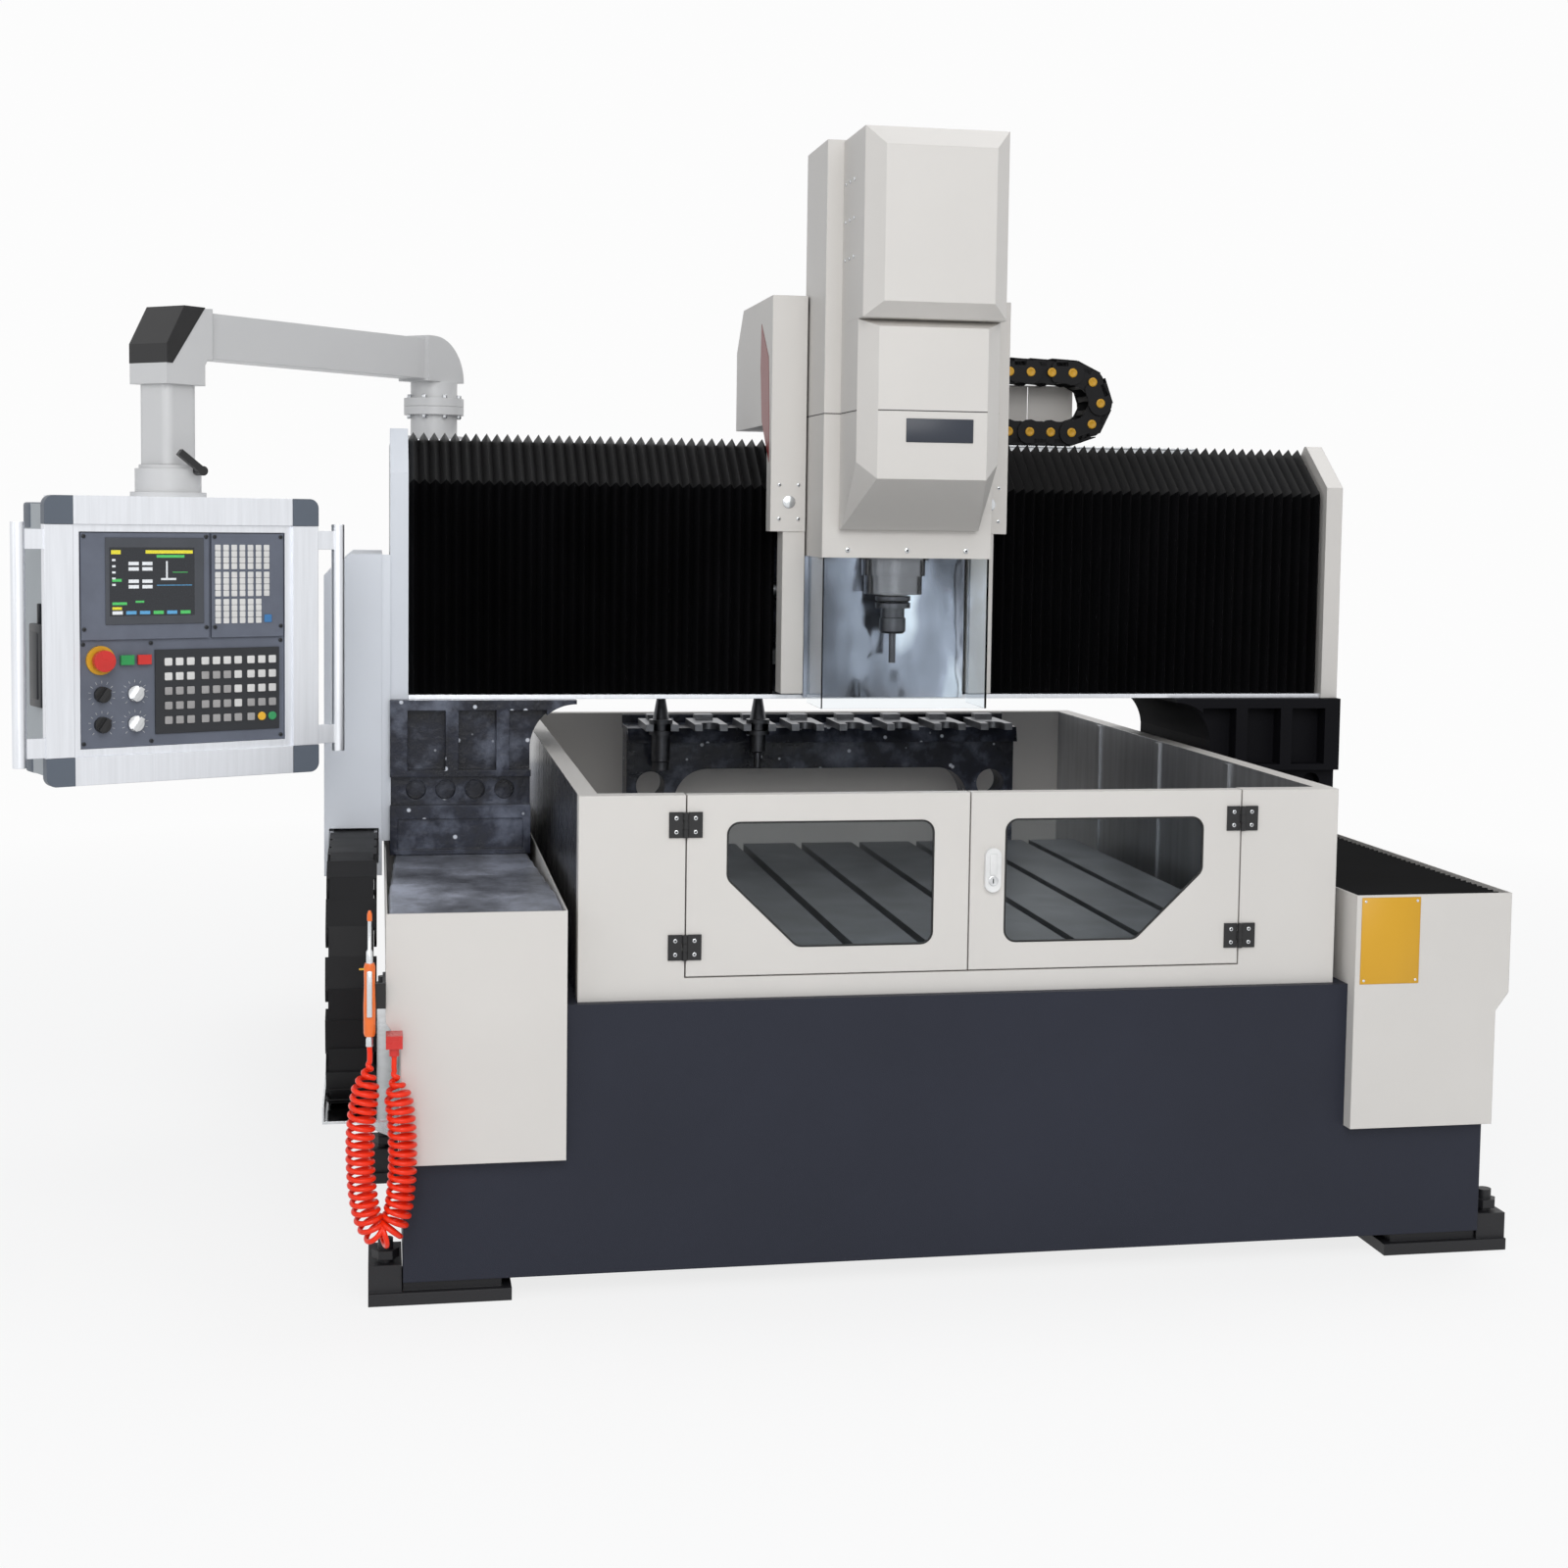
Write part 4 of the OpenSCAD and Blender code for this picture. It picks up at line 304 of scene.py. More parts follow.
def coat_paint(name, colour, rough=(0.38, 0.5), cloud=0.05, grain=900.0, grain_depth=0.0006, edge=0.0025,
               clear=0.0, shine=0.4):
    """Sprayed coat: broad clouds in colour and gloss, fine orange peel, rounded edges."""
    tree, principled = shader(name, {"Specular IOR Level": shine, "Coat Weight": clear})
    tint(tree, principled, pattern(tree, 2.3, detail=5), clouds(colour, cloud), rough)
    bump(tree, principled, pattern(tree, grain, detail=2), grain_depth, 0.25, edge)


def cast_gloss(name, colour):
    """Gloss coat over a rough casting: filler blotches and runs whose lighter patches are painted highlight, and
    small bright spots that are painted glints.
    """
    tree, principled = shader(name, {"Specular IOR Level": 0.3, "Coat Weight": 0.12, "Coat Roughness": 0.1})
    blotch = pattern(tree, 10, detail=6, rough=0.6)
    stops = tones(colour, (0.40, 0.45), (0.50, 0.9))
    # The two upper stops, lighter and greyer, are painted highlight on the blotches
    stops += [(0.58, (0.058, 0.066, 0.092)), (0.70, (0.13, 0.145, 0.19))]
    # White spots mixed into the coat's colour: painted glints of the gloss
    glint_cells = pattern(tree, 22, kind="ShaderNodeTexVoronoi")
    spots = ramp(tree, glint_cells.outputs["Distance"], [(0.085, (1, 1, 1)), (0.13, (0, 0, 0))])
    mix = node(tree, "ShaderNodeMix", data_type="RGBA")
    factor, coat, bright = mix.inputs[0], mix.inputs[6], mix.inputs[7]
    bright.default_value = (0.66, 0.69, 0.75, 1)
    tree.links.new(spots, factor)
    tree.links.new(tint(tree, principled, blotch, stops, (0.16, 0.46)), coat)
    tree.links.new(mix.outputs[2], principled.inputs["Base Color"])
    bump(tree, principled, pattern(tree, 42, detail=5, rough=0.6), 0.004, 0.6, 0.003)


def polished_plate(name, colour):
    """Polished sheet whose slow waves bend what it mirrors; its colour, dark and bright along the same waves, is
    painted reflection streaks.
    """
    tree, principled = shader(name, {"Metallic": 1.0})
    waves = pattern(tree, 5.0, (1, 1, 0.45), detail=3, rough=0.5)
    # Colour from 0.3 to 2.2 times the tone along the waves: painted dark and bright reflection streaks
    stops = tones(colour, (0.36, 0.3), (0.48, 0.75), (0.56, 1.0), (0.64, 2.2))
    tint(tree, principled, waves, stops, (0.1, 0.22))
    bump(tree, principled, waves, 0.05, 0.8)


def metal(name, colour, rough=(0.22, 0.4), scale=40.0, stretch=(1, 1, 1), contrast=0.18):
    """Bare metal with a drawn grain along the short side of stretch."""
    tree, principled = shader(name, {"Metallic": 1.0})
    grain = pattern(tree, scale, stretch, detail=6, rough=0.6)
    tint(tree, principled, grain, clouds(colour, contrast), rough)
    bump(tree, principled, grain, 0.0004, 0.3, 0.0015)


def oily_plate(name, colour):
    """Sheet steel with dark oil clouds and rubbed paths."""
    tree, principled = shader(name, {"Metallic": 0.9})
    oil = pattern(tree, 5.5, (1, 0.7, 1), detail=8, rough=0.66)
    tint(tree, principled, oil, tones(colour, (0.34, 0.45), (0.5, 1.0), (0.64, 1.7)), (0.28, 0.55))
    bump(tree, principled, pattern(tree, 260, detail=3), 0.0006, 0.35, 0.0015)


def moulding(name, colour, rough=(0.32, 0.48), clear=0.0, edge=0.0012, cloud=0.08, shine=0.4):
    """Moulded plastic with a fine texture."""
    tree, principled = shader(name, {"Specular IOR Level": shine, "Coat Weight": clear,
                                     "Coat Roughness": 0.15})
    tint(tree, principled, pattern(tree, 18, detail=4), clouds(colour, cloud), rough)
    bump(tree, principled, pattern(tree, 700, detail=2), 0.0004, 0.3, edge)


def coated_cloth(name, colour, shine):
    """Coated weave of the bellows: fine threads and dusty folds."""
    tree, principled = shader(name, {"Specular IOR Level": shine})
    dust = pattern(tree, 3.5, (1, 1, 0.6), detail=7)
    tint(tree, principled, dust, tones(colour, (0.35, 0.7), (0.7, 1.9)), (0.42, 0.6))
    bump(tree, principled, pattern(tree, 620, (1, 1, 0.35), detail=2), 0.0006, 0.4)


def clear_sheet(name, colour):
    """Clear plastic sheet with faint haze."""
    tree, principled = shader(name, {"Transmission Weight": 1.0, "IOR": 1.15})
    haze = pattern(tree, 6, detail=5)
    tint(tree, principled, haze, tones(colour, (0.3, 0.97), (0.7, 1.02)), (0.02, 0.08))


def iron_table(name, colour):
    """Ground iron: crossed scraping marks and stains."""
    tree, principled = shader(name, {"Metallic": 0.85})
    stain = pattern(tree, 9, detail=7, rough=0.6)
    tint(tree, principled, stain, tones(colour, (0.3, 0.6), (0.55, 1.0), (0.75, 1.35)), (0.3, 0.5))
    bump(tree, principled, pattern(tree, 60, (6, 0.5, 1), detail=4), 0.0005, 0.3, 0.002)


def lit_screen(name, colour):
    """Lit display: its colour also glows a little."""
    tree, principled = shader(name, {"Emission Strength": 0.35})
    lit = tint(tree, principled, pattern(tree, 350, detail=1), clouds(colour, 0.1), (0.12, 0.2))
    tree.links.new(lit, principled.inputs["Emission Color"])


def make_finishes(paint):
    """The finishes named after the record's slots, and those that only pieces of this file use."""
    coat_paint("ivory_paint", paint.ivory, cloud=0.025)
    coat_paint("bed_paint", paint.navy, (0.42, 0.56), 0.09, 500, 0.0012, 0.004, shine=0.22)
    cast_gloss("casting_paint", paint.casting)
    # Near-black coat of the right column: painted shade, for the shade it stands in under the beam
    coat_paint("casting_shade", (0.006, 0.006, 0.008), (0.5, 0.65), 0.2, 260, 0.0015, shine=0.08)
    # Bluish pale coat of the left column cover, partly its own tone and partly painted light: lighter than ivory
    # for the lit cover and the beam end's highlight
    coat_paint("pale_paint", (0.75, 0.78, 0.83), cloud=0.02)
    iron_table("table_iron", (0.20, 0.21, 0.225))
    coat_paint("black_iron", (0.011, 0.011, 0.013), (0.4, 0.6), 0.25, 260, 0.0015, 0.003)
    metal("rail_steel", (0.42, 0.44, 0.46), stretch=(1, 0.05, 1), scale=60)
    metal("bright_steel", (0.66, 0.68, 0.70), (0.14, 0.3), 24, (1, 1, 0.12))
    polished_plate("polished_plate", (0.38, 0.42, 0.50))
    metal("fork_steel", (0.19, 0.195, 0.21), (0.3, 0.45))
    metal("guard_steel", (0.15, 0.152, 0.16), (0.2, 0.34), 30, (1, 1, 0.1))
    # Darker metal for the inner side of the guard's right wall only: painted shade where that wall stands in shade
    metal("guard_lining", (0.48, 0.49, 0.51), (0.24, 0.4), 30, (1, 1, 0.1))
    oily_plate("cover_steel", (0.36, 0.38, 0.44))
    coated_cloth("bellows_cloth", (0.0022, 0.0022, 0.0026), 0.12)
    # Lighter, glossier copy of the bellows cloth for the slanted folds: painted sheen where the top light falls
    coated_cloth("bellows_gloss", (0.006, 0.006, 0.0065), 0.55)
    metal("tool_steel", (0.085, 0.087, 0.095), (0.25, 0.4), 90)
    moulding("chain_plastic", (0.0085, 0.0085, 0.0095), (0.45, 0.6), shine=0.18)
    moulding("black_plastic", (0.0105, 0.0105, 0.0115), clear=0.1)
    moulding("orange_plastic", paint.gun, (0.25, 0.4), 0.3)
    moulding("hose_plastic", paint.hose, (0.25, 0.38), 0.15, cloud=0.05, shine=0.25)
    metal("aluminium_bar", (0.78, 0.80, 0.84), (0.3, 0.42), 120, (1, 1, 0.04), contrast=0.05)
    coat_paint("white_paint", paint.white, (0.3, 0.42), 0.02, clear=0.1)
    metal("spindle_steel", (0.21, 0.21, 0.22), (0.16, 0.3), 50, (1, 1, 8))
    clear_sheet("clear_sheet", (0.93, 0.96, 0.98))
    clear_sheet("window_sheet", (0.78, 0.82, 0.84))
    moulding("white_plastic", (0.76, 0.76, 0.75), clear=0.2)
    coat_paint("case_paint", paint.slate, (0.4, 0.52), 0.04)
    moulding("panel_plastic", (0.124, 0.138, 0.176), (0.42, 0.55))
    moulding("red_plastic", (0.62, 0.02, 0.014), (0.22, 0.34), 0.3)
    moulding("green_plastic", (0.018, 0.30, 0.075), (0.25, 0.38), 0.2)
    metal("silver_plastic", (0.62, 0.63, 0.64), (0.25, 0.4), 80, (1, 6, 1), contrast=0.08)
    moulding("dark_plastic", (0.022, 0.024, 0.028), (0.35, 0.5))
    moulding("key_white", (0.72, 0.71, 0.69), (0.4, 0.5), edge=0.0006)
    moulding("key_grey", (0.36, 0.35, 0.345), (0.4, 0.5), edge=0.0006)
    moulding("key_yellow", (0.86, 0.47, 0.03), (0.3, 0.4), 0.2)
    moulding("key_green", (0.03, 0.30, 0.10), (0.3, 0.4), 0.2)
    moulding("key_blue", (0.05, 0.20, 0.45), (0.3, 0.4), 0.1)
    coat_paint("caution_yellow", paint.caution, (0.35, 0.5), 0.03)
    coat_paint("stripe_red", (0.22, 0.012, 0.012), (0.3, 0.45), 0.06)
    coat_paint("bare_plate", (0.030, 0.036, 0.050), (0.3, 0.42), 0.06)
    moulding("seam", (0.05, 0.048, 0.045), (0.6, 0.8), edge=0.0)
    moulding("screen_rim", (0.062, 0.067, 0.078), (0.3, 0.42))
    coat_paint("case_grey", (0.40, 0.43, 0.45), (0.4, 0.52), 0.03)
    lit_screen("screen_dark", (0.012, 0.014, 0.018))
    lit_screen("screen_white", (0.62, 0.64, 0.66))
    lit_screen("screen_yellow", (0.62, 0.55, 0.03))
    lit_screen("screen_green", (0.06, 0.42, 0.10))
    lit_screen("screen_blue", (0.08, 0.28, 0.50))


def paint_faces(name, finish, wanted=None):
    """Gives all faces of a CAD node, or those wanted, another finish; its shape is left alone."""
    mesh = NODES[name].data
    mesh.materials.append(FINISHES[finish])
    slot = len(mesh.materials) - 1
    for face in mesh.polygons:
        if wanted is None or wanted(face.center):
            face.material_index = slot


# Meshes

def put(name, mesh, finishes, smooth_angle=None):
    """A finished piece: its mesh in the row frame, at the origin."""
    obj = bpy.data.objects.new(name, mesh)
    bpy.context.scene.collection.objects.link(obj)
    if not mesh.materials:
        for finish in finishes:
            mesh.materials.append(FINISHES[finish])
    if smooth_angle:
        mesh.shade_smooth()
        mesh.set_sharp_from_angle(angle=math.radians(smooth_angle))
    return obj


def mesh_from(name, bm):
    """The mesh of a bmesh, which is used up, with its faces outward."""
    bmesh.ops.recalc_face_normals(bm, faces=bm.faces)
    mesh = bpy.data.meshes.new(name)
    bm.to_mesh(mesh)
    bm.free()
    return mesh


def from_bmesh(name, bm, finishes, smooth_angle=None):
    """A finished piece from a bmesh."""
    return put(name, mesh_from(name, bm), finishes, smooth_angle)


def own(bm, before, slot=0, place=None):
    """Faces and vertices made since before, with their finish and place set."""
    bm.verts.ensure_lookup_table()
    faces = [f for f in bm.faces if f not in before]
    verts = list({v for f in faces for v in f.verts})
    for f in faces:
        f.material_index = slot
    if place is not None:
        bmesh.ops.transform(bm, matrix=place, verts=verts)
    return faces


def rounded_box(bm, low, high, radius, slot=0, place=None, segments=2):
    """Box between two corners with rounded edges."""
    before = set(bm.faces)
    low, high = Vector(low), Vector(high)
    size = high - low
    stretch = Matrix.Translation((low + high) / 2) @ Matrix.Diagonal((*size, 1))
    made = bmesh.ops.create_cube(bm, size=1.0, matrix=stretch)
    edges = list({e for v in made["verts"] for e in v.link_edges})
    bmesh.ops.bevel(bm, geom=edges, offset=min(radius, min(size) * 0.45), segments=segments, affect="EDGES",
                    profile=0.5, clamp_overlap=True)
    return own(bm, before, slot, place)


def circle(bm, radius, height, count):
    """Points round the Z axis, in order."""
    angles = [2 * math.pi * k / count for k in range(count)]
    return [bm.verts.new((radius * math.cos(a), radius * math.sin(a), height)) for a in angles]


def band(bm, first, second):
    """Faces between two loops of as many points."""
    count = len(first)
    for k in range(count):
        n = (k + 1) % count
        bm.faces.new([first[k], first[n], second[n], second[k]])


def lathe(bm, profile, slot=0, place=None, segments=24):
    """Closed body turned about its own Z axis from (radius, height) pairs, from the bottom up."""
    before = set(bm.faces)
    rings = []
    for radius, height in profile:
        if radius < 1e-6:
            rings.append([bm.verts.new((0, 0, height))])
        else:
            rings.append(circle(bm, radius, height, segments))
    for low, high in zip(rings, rings[1:]):
        for k in range(segments):
            n = (k + 1) % segments
            corners = [low[k % len(low)], low[n % len(low)], high[n % len(high)], high[k % len(high)]]
            unique = list(dict.fromkeys(corners))
            if len(unique) > 2:
                bm.faces.new(unique)
    for ring in (rings[0], rings[-1]):
        if len(ring) > 2:
            bm.faces.new(ring)
    return own(bm, before, slot, place)


def prism(bm, outline, depth, slot=0, place=None):
    """Flat outline in its own XY plane, drawn out along +Z."""
    before = set(bm.faces)
    low = [bm.verts.new((x, y, 0)) for x, y in outline]
    high = [bm.verts.new((x, y, depth)) for x, y in outline]
    bm.faces.new(low)
    bm.faces.new(high)
    band(bm, low, high)
    return own(bm, before, slot, place)


def frame_at(origin, x_axis, y_axis):
    """Place whose own X and Y axes point along x_axis and y_axis."""
    x = Vector(x_axis).normalized()
    z = x.cross(Vector(y_axis)).normalized()
    y = z.cross(x)
    place = Matrix((x, y, z)).transposed().to_4x4()
    place.translation = Vector(origin)
    return place


def pendant_place():
    """The pendant's own frame at rest."""
    return Matrix.Translation((PENDANT[0], PENDANT[1], 0)) @ Matrix.Rotation(PENDANT_ANGLE, 4, "Z")



# Geometry Nodes

def rule(name, inputs):
    """A new tree with a geometry input, the named inputs and a geometry output."""
    tree = bpy.data.node_groups.new(name, "GeometryNodeTree")
    face = tree.interface
    face.new_socket("Geometry", in_out="INPUT", socket_type="NodeSocketGeometry")
    for label, kind in inputs:
        face.new_socket(label, in_out="INPUT", socket_type=kind)
    face.new_socket("Geometry", in_out="OUTPUT", socket_type="NodeSocketGeometry")
    return tree, tree.nodes.new("NodeGroupInput").outputs, tree.nodes.new("NodeGroupOutput").inputs


def grown(source, tree, values, finishes, smooth_angle=None):
    """The plain mesh that a tree makes from a source object, which is used up."""
    modifier = source.modifiers.new("Rule", "NODES")
    modifier.node_group = tree
    sockets = {s.name: s.identifier for s in tree.interface.items_tree if s.in_out == "INPUT"}
    for label, value in values.items():
        modifier[sockets[label]] = value
    graph = bpy.context.evaluated_depsgraph_get()
    mesh = bpy.data.meshes.new_from_object(source.evaluated_get(graph), depsgraph=graph)
    name = source.name
    source.modifiers.remove(modifier)
    bpy.data.objects.remove(source)
    mesh.name = name
    mesh.materials.clear()
    return put(name, mesh, finishes, smooth_angle)


def marks(name, places, **vectors):
    """Loose points for a tree to work on, with one vector at each point for every name given."""
    mesh = bpy.data.meshes.new(name)
    mesh.from_pydata([tuple(p) for p in places], [], [])
    for key, values in vectors.items():
        attribute = mesh.attributes.new(key, "FLOAT_VECTOR", "POINT")
        attribute.data.foreach_set("vector", np.array([tuple(v) for v in values], np.float32).ravel())
    obj = bpy.data.objects.new(name, mesh)
    bpy.context.scene.collection.objects.link(obj)
    return obj


def named_vector(tree, name):
    """The vector that the points carry under that name."""
    made = tree.nodes.new("GeometryNodeInputNamedAttribute")
    made.data_type = "FLOAT_VECTOR"
    made.inputs["Name"].default_value = name
    return made.outputs["Attribute"]


def turned_to(tree, axis, vector, rotation=None, pivot="AUTO"):
    """A rotation that brings an axis along a vector, on top of another rotation."""
    made = tree.nodes.new("FunctionNodeAlignRotationToVector")
    made.axis = axis
    made.pivot_axis = pivot
    tree.links.new(vector, made.inputs["Vector"])
    if rotation is not None:
        tree.links.new(rotation, made.inputs["Rotation"])
    return made.outputs["Rotation"]


def fitting_rule():
    """One shape at every point: its Z axis along facing, its X axis along aim, scaled to Width and Height."""
    tree, given, out = rule("Fittings", [("Shape", "NodeSocketObject"), ("Width", "NodeSocketFloat"),
                                         ("Height", "NodeSocketFloat"), ("Finish", "NodeSocketMaterial")])
    info = tree.nodes.new("GeometryNodeObjectInfo")
    tree.links.new(given["Shape"], info.inputs["Object"])
    size = tree.nodes.new("ShaderNodeCombineXYZ")
    for axis, label in (("X", "Width"), ("Y", "Width"), ("Z", "Height")):
        tree.links.new(given[label], size.inputs[axis])
    copies = tree.nodes.new("GeometryNodeInstanceOnPoints")
    tree.links.new(given["Geometry"], copies.inputs["Points"])
    tree.links.new(info.outputs["Geometry"], copies.inputs["Instance"])
    facing = turned_to(tree, "Z", named_vector(tree, "facing"))
    tree.links.new(turned_to(tree, "X", named_vector(tree, "aim"), facing, "Z"), copies.inputs["Rotation"])
    tree.links.new(size.outputs["Vector"], copies.inputs["Scale"])
    return finished(tree, copies.outputs["Instances"], given["Finish"], out["Geometry"])


def finished(tree, geometry, finish, out):
    """The end of a tree: real geometry with its finish."""
    real = tree.nodes.new("GeometryNodeRealizeInstances")
    tree.links.new(geometry, real.inputs["Geometry"])
    paint = tree.nodes.new("GeometryNodeSetMaterial")
    tree.links.new(real.outputs["Geometry"], paint.inputs["Geometry"])
    tree.links.new(finish, paint.inputs["Material"])
    tree.links.new(paint.outputs["Geometry"], out)
    return tree


def fold_rule():
    """Folded sheet: the source's points are its section, drawn along Run, every second crease pushed out."""
    tree, given, out = rule("Folds", [("Creases", "NodeSocketInt"), ("Rows", "NodeSocketInt"),
                                      ("Run", "NodeSocketVector"), ("Depth", "NodeSocketFloat"),
                                      ("Finish", "NodeSocketMaterial")])

    def worked(kind, *values):
        made = tree.nodes.new("ShaderNodeMath")
        made.operation = kind
        for socket, value in zip(made.inputs, values):
            if isinstance(value, int):
                socket.default_value = value
            else:
                tree.links.new(value, socket)
        return made.outputs[0]

    def vector(kind, first, second):
        made = tree.nodes.new("ShaderNodeVectorMath")
        made.operation = kind
        tree.links.new(first, made.inputs[0])
        tree.links.new(second, made.inputs["Scale" if kind == "SCALE" else 1])
        return made.outputs[0]

    def picked(value):
        made = tree.nodes.new("GeometryNodeSampleIndex")
        made.data_type = "FLOAT_VECTOR"
        tree.links.new(given["Geometry"], made.inputs["Geometry"])
        tree.links.new(value, made.inputs["Value"])
        tree.links.new(row, made.inputs["Index"])
        return made.outputs["Value"]

    grid = tree.nodes.new("GeometryNodeMeshGrid")
    tree.links.new(given["Creases"], grid.inputs["Vertices X"])
    tree.links.new(given["Rows"], grid.inputs["Vertices Y"])
    index = tree.nodes.new("GeometryNodeInputIndex").outputs[0]
    row = worked("MODULO", index, given["Rows"])
    crease = worked("FLOOR", worked("DIVIDE", index, given["Rows"]))
    push = worked("MULTIPLY", worked("MODULO", crease, 2), given["Depth"])
    share = worked("DIVIDE", crease, worked("SUBTRACT", given["Creases"], 1))
    position = tree.nodes.new("GeometryNodeInputPosition").outputs[0]
    along = vector("ADD", picked(position), vector("SCALE", given["Run"], share))
    place = vector("ADD", along, vector("SCALE", picked(named_vector(tree, "outward")), push))
    moved = tree.nodes.new("GeometryNodeSetPosition")
    tree.links.new(grid.outputs["Mesh"], moved.inputs["Geometry"])
    tree.links.new(place, moved.inputs["Position"])
    return finished(tree, moved.outputs["Geometry"], given["Finish"], out["Geometry"])


RULES = {}
SHAPES = {}


def copies(name, shape, places, facing, aim, width, height, finish, smooth_angle):
    """One piece that has the shape at every place."""
    source = marks(name, places, facing=facing, aim=aim)
    values = {"Shape": SHAPES[shape], "Width": width, "Height": height, "Finish": FINISHES[finish]}
    return grown(source, RULES["fittings"], values, [finish], smooth_angle)


def fittings(name, body, shape, places, facing, width, height, finish, aim=None):
    """Like fittings on one body, such as screws; facing and aim are one vector or one for each place."""
    if not hasattr(facing[0], "__len__"):
        facing = [facing] * len(places)
    if aim is None:
        aim = [Vector(f).orthogonal() for f in facing]
    elif not hasattr(aim[0], "__len__"):
        aim = [aim] * len(places)
    obj = copies(name, shape, places, facing, aim, width, height, finish, 40)
    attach(obj, body)


def folded_cloth(name, section, outward, run, folds, depth, cloth):
    """Cloth with that section, folded along run and made thick towards its back."""
    source = marks(name, section, outward=outward)
    values = {"Creases": 2 * folds + 1, "Rows": len(section), "Run": run, "Depth": depth,
              "Finish": FINISHES["bellows_cloth"]}
    obj = grown(source, RULES["folds"], values, ["bellows_cloth"])
    bm = bmesh.new()
    bm.from_mesh(obj.data)
    bmesh.ops.recalc_face_normals(bm, faces=bm.faces)
    bmesh.ops.solidify(bm, geom=bm.faces[:], thickness=cloth)
    bm.to_mesh(obj.data)
    bm.free()
    return obj


def keep_shape(name, bm):
    """Keeps a shape for the trees to copy."""
    SHAPES[name] = bpy.data.objects.new("shape_" + name, mesh_from("shape_" + name, bm))


def make_shapes():
    """Unit shapes for the trees: a width of 1 across and a height of 1 along Z, standing on Z = 0."""
    def hollow_head(sides, hole_sides, chamfer, depth):
        bm = bmesh.new()
        lathe(bm, [(0.5, 0), (0.5, 1 - chamfer), (0.5 - chamfer * 0.7, 1)], segments=sides)
        top = max(bm.faces, key=lambda f: f.calc_center_median().z)
        hole = circle(bm, 0.26, 1, hole_sides)
        floor = [bm.verts.new((v.co.x * 0.9, v.co.y * 0.9, 1 - depth)) for v in hole]
        rim = list(top.verts)
        bmesh.ops.delete(bm, geom=[top], context="FACES_ONLY")
        edges = [bm.edges.get((rim[k], rim[(k + 1) % sides])) for k in range(sides)]
        edges += [bm.edges.new((hole[k], hole[(k + 1) % hole_sides])) for k in range(hole_sides)]
        bmesh.ops.bridge_loops(bm, edges=edges)
        band(bm, hole, floor)
        bm.faces.new(floor)
        return bm

    def turned(profile, sides):
        bm = bmesh.new()
        lathe(bm, profile, segments=sides)
        return bm

    def block(half_length, radius, segments):
        bm = bmesh.new()
        rounded_box(bm, (-0.5, -half_length, 0), (0.5, half_length, 1), radius, segments=segments)
        return bm

    keep_shape("cap_screw", hollow_head(18, 6, 0.12, 0.5))
    keep_shape("pan_screw", hollow_head(16, 4, 0.35, 0.35))
    keep_shape("hex_bolt", turned([(0.5, 0), (0.5, 0.82), (0.44, 1)], 6))
    keep_shape("pin_cap", turned([(0.5, 0), (0.5, 0.6), (0.42, 1), (0.3, 1), (0.26, 0.8), (0, 0.8)], 20))
    keep_shape("round_key", turned([(0.5, 0), (0.5, 0.7), (0.43, 1), (0, 1)], 20))
    keep_shape("key_cap", block(0.5, 0.12, 2))
    keep_shape("tick", block(0.06, 0.02, 1))


